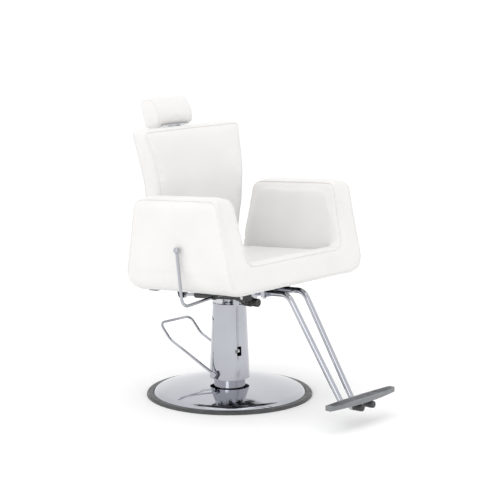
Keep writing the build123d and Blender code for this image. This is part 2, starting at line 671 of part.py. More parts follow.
with BuildPart(Plane.YZ) as hinge_pins:
    for side in BOTH_SIDES:
        with Locations((HINGE_Y, HINGE_Z, side * CHEEK_X[1])):
            Cylinder(PIN_R, 45, align=HANG if side > 0 else STAND)
            Cylinder(10, 5, align=STAND if side > 0 else HANG)
    with Locations((*GAS_FRONT, GAS_X)):
        Cylinder(PIN_R, 2 * BRACKET_X[1] + 4)
save(hinge_pins, "hinge_pins")

with BuildPart() as underseat_brackets:
    for side in BOTH_SIDES:
        with BuildSketch(Plane.YZ.offset(GAS_X + side * BRACKET_X[0])):
            with Locations(GAS_FRONT):
                Circle(15)
            with Locations((LEVER_Y, TILT_Z - 10)):
                Rectangle(56, 24)
            make_hull()
        extrude(amount=side * (BRACKET_X[1] - BRACKET_X[0]))
    with BuildSketch(SEAT.offset(UNDER)):
        with Locations((GAS_X, LEVER_Y)):
            Rectangle(2 * BRACKET_X[1] + 20, 56)
            Rectangle(*CAM_ROOM, mode=Mode.SUBTRACT)
    extrude(amount=-BRACKET_T)
    split(bisect_by=SEAT.offset(UNDER), keep=Keep.BOTTOM)
    with BuildSketch(Plane.YZ):
        with Locations(GAS_FRONT):
            Circle(PIN_R)
    extrude(amount=200, both=True, mode=Mode.SUBTRACT)
    with BuildSketch(LEVER_AXIS.offset(-30)):
        Circle(LEVER_R + FIT)
    extrude(amount=200, mode=Mode.SUBTRACT)
    with BuildSketch(SEAT_SIDE.offset(-210)) as block:
        with Locations((LEVER_Y - 3, UNDER)):
            Rectangle(22, 32, align=(Align.CENTER, Align.MAX))
        fillet(block.vertices().group_by(Axis.Y)[0], 8)
        with Locations((LEVER_Y - 3, UNDER)):
            Rectangle(50, 4, align=(Align.CENTER, Align.MAX))
    extrude(amount=12)
    with BuildSketch(LEVER_AXIS):
        Circle(LEVER_R + FIT)
    extrude(amount=300, mode=Mode.SUBTRACT)
save(underseat_brackets, "underseat_brackets")

# ============================ swivel lock ============================
BARREL_R = 10.0
RIDGES = 14
BARREL_END = -65.0
KNOB_STAGES = ((17.0, -66.0, -98.0), (14.0, -98.0, -128.0))

with BuildPart() as lock_collar:
    with BuildSketch(Plane.XY.offset(CAP_TOP + 2)):
        Circle(COLLAR_R)
    extrude(amount=HUB_Z - CAP_TOP - 2)
    with BuildSketch(Plane.XZ):
        with Locations((0, LOCK_Z)):
            Circle(BARREL_R)
    extrude(amount=-BARREL_END)
    with BuildSketch(Plane.XY.offset(CAP_TOP)):
        Circle(RAM_R + GAP)
    extrude(amount=60, mode=Mode.SUBTRACT)
    with BuildSketch(Plane.XY.offset(RAM_TOP - 2)):
        Circle(21)
    extrude(amount=60, mode=Mode.SUBTRACT)
    with BuildSketch(Plane.XZ):
        with Locations((0, LOCK_Z)):
            Circle(LOCK_SCREW_R + FIT)
    extrude(amount=100, mode=Mode.SUBTRACT)
    split(bisect_by=Plane.XY.offset(HUB_Z), keep=Keep.BOTTOM)
save(lock_collar, "lock_collar")

with BuildPart() as lock_knob:
    for radius, near, far in KNOB_STAGES:
        with BuildSketch(Plane.XZ.offset(-near)):
            with Locations((0, LOCK_Z)):
                Circle(radius)
                with PolarLocations(radius + 0.6, RIDGES):
                    Circle(1.7, mode=Mode.SUBTRACT)
        extrude(amount=near - far)
    with BuildSketch(Plane.XZ.offset(RAM_R + 1)):
        with Locations((0, LOCK_Z)):
            Circle(LOCK_SCREW_R)
    extrude(amount=60)
save(lock_knob, "lock_knob")

INDEX_AT = radians(-118)
INDEX_R = 61.0
INDEX_LOW = 312.0

with BuildPart() as index_tab:
    with BuildSketch(Plane(origin=(INDEX_R * cos(INDEX_AT), INDEX_R * sin(INDEX_AT), PLATE_Z[0]),
                           x_dir=(-sin(INDEX_AT), cos(INDEX_AT), 0),
                           z_dir=(cos(INDEX_AT), sin(INDEX_AT), 0))) as blade:
        Rectangle(20, PLATE_Z[0] - INDEX_LOW, align=(Align.CENTER, Align.MAX))
        fillet(blade.vertices().group_by(Axis.Y)[0], 9)
    extrude(amount=5)
save(index_tab, "index_tab")

# ============================ footrest ============================
foot_rear = seat_point(0, CLAMP_BLOCKS[1][1] + 3, FOOT_TOP_LEVEL)
foot_knee = seat_point(0, FOOT_KNEE, FOOT_TOP_LEVEL)

with BuildPart() as footrest_tubes:
    for side in BOTH_SIDES:
        with BuildLine() as path:
            FilletPolyline(
                (side * FOOT_X[0], foot_rear.Y, foot_rear.Z), (side * FOOT_X[0], foot_knee.Y, foot_knee.Z),
                (side * FOOT_X[1], *FOOT_ANKLE), (side * FOOT_X[1], FOOT_TUBE_END, FOOT_ANKLE[1]),
                radius=[46, 30])
        with BuildSketch(Plane(origin=path.line @ 0, z_dir=path.line % 0)):
            Circle(FOOT_TUBE_R)
            Circle(FOOT_TUBE_R - 1.8, mode=Mode.SUBTRACT)
        sweep(path=path.line)
save(footrest_tubes, "footrest_tubes")

with BuildPart() as footrest_clamp:
    with BuildSketch(SEAT.offset(UNDER)):
        with Locations((0, (CLAMP_BLOCKS[0][0] + CLAMP_BLOCKS[1][1]) / 2)):
            Rectangle(CLAMP_W, CLAMP_BLOCKS[1][1] - CLAMP_BLOCKS[0][0])
    extrude(amount=-5)
    for low, high in CLAMP_BLOCKS:
        with BuildSketch(SEAT.offset(UNDER)):
            with Locations((0, (low + high) / 2)):
                Rectangle(CLAMP_W, high - low)
        extrude(amount=CLAMP_DROP - UNDER)
    with BuildSketch(SEAT_FRONT.offset(100)):
        with Locations((-FOOT_X[0], FOOT_TOP_LEVEL), (FOOT_X[0], FOOT_TOP_LEVEL)):
            Circle(FOOT_TUBE_R + 0.1)
    extrude(amount=300, mode=Mode.SUBTRACT)
    with BuildSketch(SEAT.offset(CLAMP_DROP)):
        with Locations(*[(side * CLAMP_BOLT_X, (low + high) / 2)
                         for side in BOTH_SIDES for low, high in CLAMP_BLOCKS]):
            Circle(CLAMP_BOLT_CLEAR_R)
    extrude(amount=60, mode=Mode.SUBTRACT)
save(footrest_clamp, "footrest_clamp")

CROSS_BAR_Y = -262.0

with BuildPart() as footrest_brackets:
    cross = seat_point(0, CROSS_BAR_Y, FOOT_TOP_LEVEL)
    with BuildSketch(Plane.YZ):
        with Locations((cross.Y, cross.Z)):
            Circle(4)
    extrude(amount=FOOT_X[0] - FOOT_TUBE_R - 0.1, both=True)
    for side in BOTH_SIDES:
        with BuildSketch(Plane.XZ.offset(544)):
            with Locations((side * FOOT_X[1], FOOT_ANKLE[1])):
                Rectangle(26, FOOTPLATE_Z[0] - FOOT_ANKLE[1], align=(Align.CENTER, Align.MIN))
                Circle(13)
                Circle(FOOT_TUBE_R + 0.05, mode=Mode.SUBTRACT)
        extrude(amount=14)
save(footrest_brackets, "footrest_brackets")

PLUG_START = -560.0
RIB_STEP = 1.75

with BuildPart() as tube_plugs:
    for side in BOTH_SIDES:
        with BuildSketch(Plane(origin=(side * FOOT_X[1], 0, FOOT_ANKLE[1]), x_dir=(0, 1, 0), z_dir=(1, 0, 0))):
            with BuildLine():
                ribs = [(PLUG_START - RIB_STEP * i, 12 if i % 4 < 2 else 11) for i in range(13)]
                Polyline((PLUG_START, FOOT_TUBE_R + FIT), *ribs, (-590, 10.5), (-592, 7), (-592, 0),
                         (FOOT_TUBE_END - FIT, 0), (FOOT_TUBE_END - FIT, FOOT_TUBE_R + FIT), close=True)
            make_face()
        revolve(axis=Axis((side * FOOT_X[1], 0, FOOT_ANKLE[1]), (0, 1, 0)))
save(tube_plugs, "tube_plugs")

with BuildPart() as footplate:
    with BuildSketch(Plane.XY.offset(FOOTPLATE_Z[0])) as outline:
        with BuildLine():
            front = ThreePointArc((-PLATE_HALF_W, -570), (0, -587), (PLATE_HALF_W, -570))
            Line(front @ 1, (PLATE_HALF_W, -549))
            rear = ThreePointArc((PLATE_HALF_W, -549), (0, -543), (-PLATE_HALF_W, -549))
            Line(rear @ 1, front @ 0)
        make_face()
        fillet(outline.vertices(), 3)
    extrude(amount=FOOTPLATE_Z[1] - FOOTPLATE_Z[0])
    with BuildSketch(Plane.XY.offset(FOOTPLATE_Z[1] - 1.6)):
        with Locations(*[(0, -551 - 6.5 * i) for i in range(5)]):
            Rectangle(2 * PLATE_HALF_W - 22 - 8, 3)
    extrude(amount=5, mode=Mode.SUBTRACT)
save(footplate, "footplate")

# ============================ gas spring ============================
gas_angle = atan2(GAS_REAR[1] - GAS_FRONT[1], GAS_REAR[0] - GAS_FRONT[0])
gas_length = hypot(GAS_REAR[1] - GAS_FRONT[1], GAS_REAR[0] - GAS_FRONT[0])
GAS_AXIS = Plane(origin=(GAS_X, *GAS_FRONT), x_dir=(1, 0, 0), z_dir=(0, cos(gas_angle), sin(gas_angle)))
GAS_TUBE = (22.0, 225.0)
RELEASE_PIN_Y = LEVER_Y + 12.0
RELEASE_PIN_R = 3.0
RELEASE_PIN_TOP = 374.5

with BuildPart() as gas_cylinder:
    with BuildSketch(GAS_AXIS.offset(GAS_TUBE[0])):
        Circle(GAS_R)
    extrude(amount=GAS_TUBE[1] - GAS_TUBE[0])
    fillet(gas_cylinder.edges().group_by(Axis.Y)[-1], 2)
    with BuildSketch(GAS_AXIS.offset(-15)):
        RectangleRounded(26, 26, 5)
    extrude(amount=48)
    with BuildSketch(GAS_AXIS.offset(40)):
        Circle(GAS_ROD_R + 3)
    extrude(amount=GAS_TUBE[1] - 48, mode=Mode.SUBTRACT)
    with BuildSketch(GAS_AXIS.offset(40)):
        Circle(GAS_ROD_R + FIT)
    extrude(amount=GAS_TUBE[1], mode=Mode.SUBTRACT)
    with BuildSketch(Plane.YZ):
        with Locations(GAS_FRONT):
            Circle(PIN_R + FIT)
    extrude(amount=200, both=True, mode=Mode.SUBTRACT)
    with BuildSketch(Plane.XY.offset(GAS_FRONT[1])):
        with Locations((GAS_X, RELEASE_PIN_Y)):
            Circle(RELEASE_PIN_R + FIT)
    extrude(amount=60, mode=Mode.SUBTRACT)
save(gas_cylinder, "gas_cylinder")

with BuildPart() as gas_rod:
    with BuildSketch(GAS_AXIS.offset(gas_length - 175)):
        Circle(GAS_ROD_R)
    extrude(amount=175)
    with BuildSketch(GAS_AXIS.offset(gas_length - 175)):
        Circle(GAS_ROD_R + 3 - FIT)
    extrude(amount=12)
    with BuildSketch(Plane.YZ.offset(GAS_X - 7)):
        with Locations(GAS_REAR):
            Circle(14)
    extrude(amount=14)
    with BuildSketch(Plane.YZ.offset(GAS_X - 20)):
        with Locations(GAS_REAR):
            Circle(OPEN_EYE_R)
    extrude(amount=40, mode=Mode.SUBTRACT)
save(gas_rod, "gas_rod")

with BuildPart() as release_pin:
    with Locations((GAS_X, RELEASE_PIN_Y, RELEASE_PIN_TOP)):
        Cylinder(RELEASE_PIN_R, 16, align=HANG)
    fillet(release_pin.edges().group_by(Axis.Z)[-1], 1)
save(release_pin, "release_pin")

# ============================ recline lever ============================
ball_centre = Vector(*BALL_AT)
elbow = Vector(LEVER_X[1], LEVER_Y, LEVER_Z[1])
lever_rise = (ball_centre - elbow).normalized()
lever_top = ball_centre - lever_rise * 3

with BuildPart() as recline_rod:
    with BuildLine() as path:
        FilletPolyline((LEVER_X[0], LEVER_Y, LEVER_Z[0]), elbow, lever_top, radius=26)
    with BuildSketch(Plane(origin=path.line @ 0, z_dir=path.line % 0)):
        Circle(LEVER_R)
    sweep(path=path.line)
save(recline_rod, "recline_rod")

with BuildPart() as recline_ball:
    with Locations(ball_centre):
        Sphere(BALL_R)
    with BuildSketch(Plane(origin=lever_top, z_dir=-lever_rise)):
        Circle(LEVER_R)
    extrude(amount=30, mode=Mode.SUBTRACT)
save(recline_ball, "recline_ball")

cam_height = lever_height(sum(CAM_X) / 2)

with BuildPart() as release_cam:
    with BuildSketch(Plane.YZ.offset(CAM_X[0])):
        with Locations((LEVER_Y, cam_height)):
            Circle(9)
        with Locations((RELEASE_PIN_Y + 2, RELEASE_PIN_TOP + 5 + 4)):
            Circle(4)
        make_hull()
    extrude(amount=CAM_X[1] - CAM_X[0])
    with BuildSketch(LEVER_AXIS.offset(-20)):
        Circle(LEVER_R)
    extrude(amount=80, mode=Mode.SUBTRACT)
    split(bisect_by=SEAT.offset(UNDER - BRACKET_T - 2 * GAP), keep=Keep.BOTTOM)
save(release_cam, "release_cam")

# ============================ back ============================
PAD_RIM_Z = (474.0, 868.0)  # recess for the board, from the rear
RECESS_HALF_W = 186.0
BOARD_FRONT_INSET = 20.0
PANEL_T = 8.0
REAR_STRAIGHT = (190.0, 640.0)  # y, z where the rear face starts to lean
REAR_TOP = (231.0, 884.0)
LEAN_START = (194.0, 700.0)
REAR_SLOPE = (REAR_TOP[0] - LEAN_START[0]) / (REAR_TOP[1] - LEAN_START[1])


def rear_outline(inset):
    """Rear face of the back in the side plane, inset towards the front."""
    return [(REAR_STRAIGHT[0] - inset, PAD_RIM_Z[0]), (REAR_STRAIGHT[0] - inset, REAR_STRAIGHT[1]),
            (LEAN_START[0] - inset, LEAN_START[1]),
            (LEAN_START[0] - inset + (PAD_RIM_Z[1] - LEAN_START[1]) * REAR_SLOPE, PAD_RIM_Z[1])]


def back_sheet(near, far):
    """A board between two insets from the rear face, across the back."""
    with BuildPart() as sheet:
        with BuildSketch(Plane.YZ.offset(POCKET - RECESS_HALF_W)):
            with BuildLine():
                Polyline(*rear_outline(near), *reversed(rear_outline(far)), close=True)
            make_face()
        extrude(amount=2 * (RECESS_HALF_W - POCKET))
    return sheet


with BuildPart() as back_pad:
    with BuildSketch(Plane.YZ.offset(-300)) as outline:
        with BuildLine():
            front = Spline((136, BACK_BOTTOM + 8), (127, 560), (121, 655), (124, 735), (134, 792), (148, 848),
                           (163, 882))
            top = ThreePointArc(front @ 1, (195, 898), REAR_TOP)
            back = Polyline(top @ 1, LEAN_START, REAR_STRAIGHT, (REAR_STRAIGHT[0], BACK_BOTTOM + 8),
                            (REAR_STRAIGHT[0] - 8, BACK_BOTTOM), (144, BACK_BOTTOM), front @ 0)
        make_face()
    extrude(amount=600)
    with BuildSketch(Plane.XZ.offset(-100)):
        with BuildLine():
            right = Spline((196, BACK_BOTTOM - 10), (200, 580), (205, 700), (211, 765), (220, 842), (230, 890))
            Line(right @ 1, (232, 905))
            Line((232, 905), (-232, 905))
            left = Spline((-230, 890), (-220, 842), (-211, 765), (-205, 700),
                          (-200, 580), (-196, BACK_BOTTOM - 10))
            Line((-232, 905), left @ 0)
            Line(left @ 1, right @ 0)
        make_face()
    extrude(amount=-200, mode=Mode.INTERSECT)
    with BuildSketch(Plane.YZ.offset(-RECESS_HALF_W)):
        with BuildLine():
            Polyline(*rear_outline(BOARD_FRONT_INSET), (260, PAD_RIM_Z[1]), (260, PAD_RIM_Z[0]), close=True)
        make_face()
    extrude(amount=2 * RECESS_HALF_W, mode=Mode.SUBTRACT)
save(back_pad, "back_pad")

save(back_sheet(BOARD_FRONT_INSET - POCKET, PANEL_T), "back_board")
save(back_sheet(PANEL_T, 0), "rear_panel")

BAR_X = (100.0, 140.0)
BAR_T = 6.0
BAR_TOP = 640.0
BAR_BOLT_Z = (545.0, 610.0)
BAR_BOLT_R = 4.0
BAR_BOLT_HEAD = (8.0, 4.0)  # radius, height

with BuildPart() as back_bars:
    for side in BOTH_SIDES:
        with Locations((side * sum(BAR_X) / 2, HINGE_Y + TUBE_R, HINGE_Z - 8)):
            Box(BAR_X[1] - BAR_X[0], BAR_T, BAR_TOP - HINGE_Z + 8, align=(Align.CENTER, Align.MIN, Align.MIN))
    fillet(back_bars.edges().filter_by(Axis.Y).group_by(Axis.Z)[-1], 12)
    with BuildSketch(Plane.XZ):
        with Locations(*[(side * sum(BAR_X) / 2, z) for side in BOTH_SIDES for z in BAR_BOLT_Z]):
            Circle(BAR_BOLT_R)
    extrude(amount=-300, mode=Mode.SUBTRACT)
save(back_bars, "back_bars")

with BuildPart() as bar_bolts:
    for side in BOTH_SIDES:
        with BuildSketch(Plane.XZ.offset(-HINGE_Y - TUBE_R - BAR_T)):
            with Locations(*[(side * sum(BAR_X) / 2, z) for z in BAR_BOLT_Z]):
                Circle(BAR_BOLT_HEAD[0])
        extrude(amount=-BAR_BOLT_HEAD[1])
        with BuildSketch(Plane.XZ.offset(-HINGE_Y - TUBE_R - BAR_T)):
            with Locations(*[(side * sum(BAR_X) / 2, z) for z in BAR_BOLT_Z]):
                Circle(BAR_BOLT_R)
        extrude(amount=BAR_T)
    fillet(bar_bolts.edges().group_by(Axis.Y)[-1], 2.5)
save(bar_bolts, "bar_bolts")

with BuildPart(Plane.YZ) as pivot_tube:
    with Locations((HINGE_Y, HINGE_Z, 0)):
        Cylinder(TUBE_R, 2 * (CHEEK_X[0] - 1.5))
        Cylinder(PIN_R + FIT, 400, mode=Mode.SUBTRACT)
save(pivot_tube, "pivot_tube")

LUG_X = (9.0, 13.0)

with BuildPart() as spring_lug:
    for side in BOTH_SIDES:
        with BuildSketch(Plane.YZ.offset(GAS_X + side * LUG_X[0])):
            with Locations((HINGE_Y, HINGE_Z)):
                Circle(TUBE_R + 5)
            with Locations(GAS_REAR):
                Circle(11)
            make_hull()
            with Locations((HINGE_Y, HINGE_Z)):
                Circle(TUBE_R, mode=Mode.SUBTRACT)
        extrude(amount=side * (LUG_X[1] - LUG_X[0]))
    with BuildSketch(Plane.YZ.offset(GAS_X - LUG_X[1] - 2)):
        with Locations(GAS_REAR):
            Circle(LUG_PIN_R)
    extrude(amount=2 * LUG_X[1] + 4)
save(spring_lug, "spring_lug")

# ============================ headrest ============================
POST = lean_plane(POST_LEAN, (0, *TILT_PIVOT))
PILLOW = lean_plane(PILLOW_LEAN, (0, *TILT_PIVOT))
POST_HALF = (15.0, 4.0)
POST_SPAN = (-215.0, -8.0)
SOCKET_SPAN = (-150.0, -95.0)
REAR_FACE_AT = -10.6  # rear face of the back, from the post's centre
TILT_BOLT_R = 3.0
POST_EYE_R = 7.0

with BuildPart() as headrest_socket:
    with BuildSketch(POST.offset(-22)) as outline:
        with BuildLine():
            Polyline((REAR_FACE_AT, SOCKET_SPAN[0]), (12, SOCKET_SPAN[0]), (12, SOCKET_SPAN[1]),
                     (REAR_FACE_AT, SOCKET_SPAN[1]), close=True)
        make_face()
    extrude(amount=44)
    with BuildSketch(POST.offset(-38)):
        with BuildLine():
            Polyline((REAR_FACE_AT, SOCKET_SPAN[0] + 8), (REAR_FACE_AT + 4, SOCKET_SPAN[0] + 8),
                     (REAR_FACE_AT + 4, SOCKET_SPAN[1] - 8), (REAR_FACE_AT, SOCKET_SPAN[1] - 8), close=True)
        make_face()
    extrude(amount=76)
    with BuildSketch(POST.offset(-POST_HALF[0] - FIT)):
        with Locations((0, -120)):
            Rectangle(2 * (POST_HALF[1] + FIT), 300)
    extrude(amount=2 * (POST_HALF[0] + FIT), mode=Mode.SUBTRACT)
save(headrest_socket, "headrest_socket")

with BuildPart() as headrest_post:
    with BuildSketch(POST.offset(-POST_HALF[0])):
        with Locations((0, sum(POST_SPAN) / 2)):
            Rectangle(2 * POST_HALF[1], POST_SPAN[1] - POST_SPAN[0])
    extrude(amount=2 * POST_HALF[0])
    with BuildSketch(POST.offset(-POST_HALF[0])):
        with Locations((0, POST_SPAN[1])):
            Rectangle(2 * POST_HALF[1], 8, align=(Align.CENTER, Align.MIN))
        Circle(POST_EYE_R)
    extrude(amount=2 * POST_HALF[0])
    with BuildSketch(POST.offset(-30)):
        Circle(TILT_BOLT_R + FIT)
    extrude(amount=60, mode=Mode.SUBTRACT)
save(headrest_post, "headrest_post")

EAR_X = (15.5, 19.5)
BRACKET_TOP = 12.0
PILLOW_DEPTH = 64.9

with BuildPart() as headrest_bracket:
    with BuildSketch(PILLOW.offset(-64)):
        with Locations((24, BRACKET_TOP)):
            Rectangle(52, 3, align=(Align.CENTER, Align.MAX))
    extrude(amount=128)
    for side in BOTH_SIDES:
        with BuildSketch(PILLOW.offset(side * EAR_X[0])):
            Circle(POST_EYE_R)
            with Locations((8, BRACKET_TOP - 3)):
                Rectangle(20, 2, align=(Align.CENTER, Align.MIN))
            make_hull()
        extrude(amount=side * (EAR_X[1] - EAR_X[0]))
    with BuildSketch(PILLOW.offset(-30)):
        Circle(TILT_BOLT_R)
    extrude(amount=60, mode=Mode.SUBTRACT)
save(headrest_bracket, "headrest_bracket")

with BuildPart() as tilt_bolt:
    with BuildSketch(PILLOW.offset(-EAR_X[1])):
        Circle(TILT_BOLT_R)
    extrude(amount=2 * EAR_X[1])
    for side in BOTH_SIDES:
        with BuildSketch(PILLOW.offset(side * EAR_X[1])):
            RegularPolygon(6, 6)
        extrude(amount=side * 4)
save(tilt_bolt, "tilt_bolt")

with BuildPart() as headrest_pillow:
    with BuildSketch(PILLOW.offset(-PILLOW_HALF_W)) as outline:
        with BuildLine():
            base = Line((PILLOW_DEPTH, 12.5), (12, 12.5))
            ThreePointArc(base @ 1, (-5, 20), (-9.8, 38))
            nose = Line((-9.8, 38), (-9.8, 60))
            brow = ThreePointArc(nose @ 1, (-4, 88), (8, 104))
            crown = Line(brow @ 1, (PILLOW_DEPTH, 111.3))
            Line(crown @ 1, base @ 0)
        make_face()
        fillet(outline.vertices().sort_by(Axis.Y)[-2:], 9)
    extrude(amount=2 * PILLOW_HALF_W)
save(headrest_pillow, "headrest_pillow")
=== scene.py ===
import json
import math

import bmesh
import bpy
import numpy as np
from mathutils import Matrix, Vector, kdtree
from mathutils.bvhtree import BVHTree


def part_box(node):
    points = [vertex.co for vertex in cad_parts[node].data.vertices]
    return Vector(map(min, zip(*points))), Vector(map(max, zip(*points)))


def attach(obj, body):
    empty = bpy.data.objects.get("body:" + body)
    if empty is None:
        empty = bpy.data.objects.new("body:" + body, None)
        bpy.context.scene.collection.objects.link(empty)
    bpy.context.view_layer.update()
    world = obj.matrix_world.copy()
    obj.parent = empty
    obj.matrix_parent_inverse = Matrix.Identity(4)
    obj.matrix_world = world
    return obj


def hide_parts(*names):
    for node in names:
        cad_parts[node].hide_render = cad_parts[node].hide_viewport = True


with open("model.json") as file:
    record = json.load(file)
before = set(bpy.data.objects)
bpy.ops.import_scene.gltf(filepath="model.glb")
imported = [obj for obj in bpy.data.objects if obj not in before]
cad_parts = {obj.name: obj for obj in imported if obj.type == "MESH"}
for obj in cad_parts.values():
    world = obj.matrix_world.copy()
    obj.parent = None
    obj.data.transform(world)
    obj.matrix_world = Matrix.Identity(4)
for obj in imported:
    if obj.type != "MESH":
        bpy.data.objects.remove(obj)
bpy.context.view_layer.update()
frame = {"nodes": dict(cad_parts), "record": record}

# Hydraulic styling chair. Metres, +Z up; the sitter faces -Y.
# Cover outlines are in millimetres and are scaled when a mesh is made.
MM = 0.001
scene = bpy.context.scene
nodes = frame["nodes"]

# ------------------------------------------------------------------ geometry helpers


def new_object(name, points, faces):
    """A mesh object from points in metres and faces, with outward normals."""
    mesh = bpy.data.meshes.new(name)
    mesh.from_pydata([tuple(p) for p in points], [], faces)
    work = bmesh.new()
    work.from_mesh(mesh)
    bmesh.ops.recalc_face_normals(work, faces=work.faces)
    work.to_mesh(mesh)
    work.free()
    obj = bpy.data.objects.new(name, mesh)
    scene.collection.objects.link(obj)
    return obj


def applied(obj):
    """Replace the object's mesh by its modified one."""
    graph = bpy.context.evaluated_depsgraph_get()
    mesh = bpy.data.meshes.new_from_object(obj.evaluated_get(graph))
    obj.modifiers.clear()
    obj.data = mesh
    return obj


def coordinates(mesh):
    """The mesh's points as an array."""
    flat = np.empty(len(mesh.vertices) * 3, np.float32)
    mesh.vertices.foreach_get("co", flat)
    return flat.reshape(-1, 3).astype(float)


def set_coordinates(mesh, points):
    """Write an array of points back into the mesh."""
    mesh.vertices.foreach_set("co", np.asarray(points, np.float32).ravel())
    mesh.update()


def normals(mesh):
    """The mesh's point normals as an array."""
    flat = np.empty(len(mesh.vertices) * 3, np.float32)
    mesh.vertex_normals.foreach_get("vector", flat)
    return flat.reshape(-1, 3).astype(float)


def smooth_shaded(obj):
    """Shade every face of the object smoothly."""
    obj.data.polygons.foreach_set("use_smooth", [True] * len(obj.data.polygons))
    return obj


def relaxed(mesh, rounds):
    """Points of the mesh after some rounds of averaging with their neighbours."""
    points = coordinates(mesh)
    ends = np.empty(len(mesh.edges) * 2, np.int32)
    mesh.edges.foreach_get("vertices", ends)
    first, second = ends[0::2], ends[1::2]
    count = np.bincount(ends, minlength=len(points))[:, None]
    for _ in range(rounds):
        total = np.zeros_like(points)
        np.add.at(total, first, points[second])
        np.add.at(total, second, points[first])
        points = 0.5 * points + 0.5 * total / np.maximum(count, 1)
    return points


def rounded(corners, radii, closed=True, steps=6):
    """A 2-D outline through the corners, each rounded by its own radius."""
    out = []
    count = len(corners)
    for i, (corner, radius) in enumerate(zip(corners, radii)):
        p = Vector(corner)
        if not closed and i in (0, count - 1):
            out.append(tuple(p))
            continue
        back = (Vector(corners[i - 1]) - p).normalized()
        ahead = (Vector(corners[(i + 1) % count]) - p).normalized()
        half = back.angle(ahead) / 2
        if radius <= 0:
            out.append(tuple(p))
            continue
        reach = radius / math.tan(half)
        centre = p + (back + ahead).normalized() * (radius / math.sin(half))
        start, end = p + back * reach - centre, p + ahead * reach - centre
        turn = start.angle_signed(end)
        for k in range(steps + 1):
            a = -turn * k / steps
            spun = Vector((start.x * math.cos(a) - start.y * math.sin(a),
                           start.x * math.sin(a) + start.y * math.cos(a)))
            out.append(tuple(centre + spun))
    return out


def resampled(points, step, closed=False):
    """The same path with points about one step apart."""
    p = np.asarray(points, float)
    if closed:
        p = np.vstack([p, p[:1]])
    lengths = np.linalg.norm(np.diff(p, axis=0), axis=1)
    along = np.concatenate([[0], np.cumsum(lengths)])
    count = max(int(round(along[-1] / step)), 4)
    at = np.linspace(0, along[-1], count + 1)[:-1 if closed else None]
    return np.stack([np.interp(at, along, p[:, k]) for k in range(p.shape[1])], axis=1)


def inward(outline):
    """Inward normals of a closed 2-D outline."""
    p = np.asarray(outline, float)
    tangent = np.roll(p, -1, axis=0) - np.roll(p, 1, axis=0)
    tangent /= np.linalg.norm(tangent, axis=1)[:, None]
    area = np.sum(p[:, 0] * np.roll(p[:, 1], -1) - np.roll(p[:, 0], -1) * p[:, 1])
    side = 1 if area > 0 else -1
    return np.stack([-tangent[:, 1], tangent[:, 0]], axis=1) * side


def lofted(name, rings):
    """A closed form through rings of points, with flat ends."""
    count = len(rings[0])
    points = [p for ring in rings for p in ring]
    faces = [list(range(count))[::-1],
             [(len(rings) - 1) * count + k for k in range(count)]]
    for r in range(len(rings) - 1):
        for k in range(count):
            a, b = r * count + k, r * count + (k + 1) % count
            faces.append([a, b, b + count, a + count])
    return new_object(name, points, faces)


def rectangle(half_x, half_y):
    """Corners of a rectangle round the origin."""
    return [(-half_x, -half_y), (half_x, -half_y), (half_x, half_y), (-half_x, half_y)]


def end_steps(radius, steps=4):
    """Depth and inset pairs of a rounded end."""
    angles = [math.pi / 2 * k / steps for k in range(steps + 1)]
    return [(radius * (1 - math.cos(a)), radius * (1 - math.sin(a))) for a in angles]


LEAST_FILL = 1.5 * MM  # how far an edge may draw in under the stretched cover
CLOTH_FRAMES = 20


def padded_form(obj, voxel, cap, smoothing=2, pressure=4.0):
    """Turn a rough closed form into a stuffed one: remesh, inflate as cloth, subdivide."""
    remesh = obj.modifiers.new("remesh", "REMESH")
    remesh.mode = "VOXEL"
    remesh.voxel_size = voxel * MM
    applied(obj)
    set_coordinates(obj.data, relaxed(obj.data, 2))
    start = coordinates(obj.data)
    out = normals(obj.data)
    cloth = obj.modifiers.new("cloth", "CLOTH")
    cloth.settings.use_pressure = True
    cloth.settings.uniform_pressure_force = pressure
    cloth.settings.effector_weights.gravity = 0
    cloth.settings.quality = 3
    cloth.collision_settings.use_collision = False
    cloth.point_cache.frame_start = 1
    cloth.point_cache.frame_end = CLOTH_FRAMES
    for number in range(1, CLOTH_FRAMES + 1):
        scene.frame_set(number)
    graph = bpy.context.evaluated_depsgraph_get()
    moved = coordinates(obj.evaluated_get(graph).data)
    obj.modifiers.clear()
    scene.frame_set(1)
    shift = moved - start
    length = np.linalg.norm(shift, axis=1)[:, None]
    limit = cap * MM
    shift *= limit * np.tanh(length / limit) / np.maximum(length, 1e-9)
    outward = np.sum(shift * out, axis=1)
    shift += out * np.clip(-LEAST_FILL - outward, 0, None)[:, None]
    set_coordinates(obj.data, start + shift)
    set_coordinates(obj.data, relaxed(obj.data, smoothing))
    obj.modifiers.new("finer", "SUBSURF").levels = 1
    applied(obj)
    return smooth_shaded(obj)


def on_surface(obj, path, closed, lift=0.0, smoothing=3):
    """Lay a path of points on the object's surface."""
    tree = BVHTree.FromPolygons(coordinates(obj.data).tolist(),
                                [tuple(f.vertices) for f in obj.data.polygons])
    points = np.empty((len(path), 3))
    for k, p in enumerate(path):
        near, normal, _, _ = tree.find_nearest(Vector(p))
        points[k] = near + normal * lift
    for _ in range(smoothing):
        middle = (np.roll(points, 1, axis=0) + np.roll(points, -1, axis=0)) / 4 + points / 2
        if not closed:
            middle[0], middle[-1] = points[0], points[-1]
        points = middle
    return points


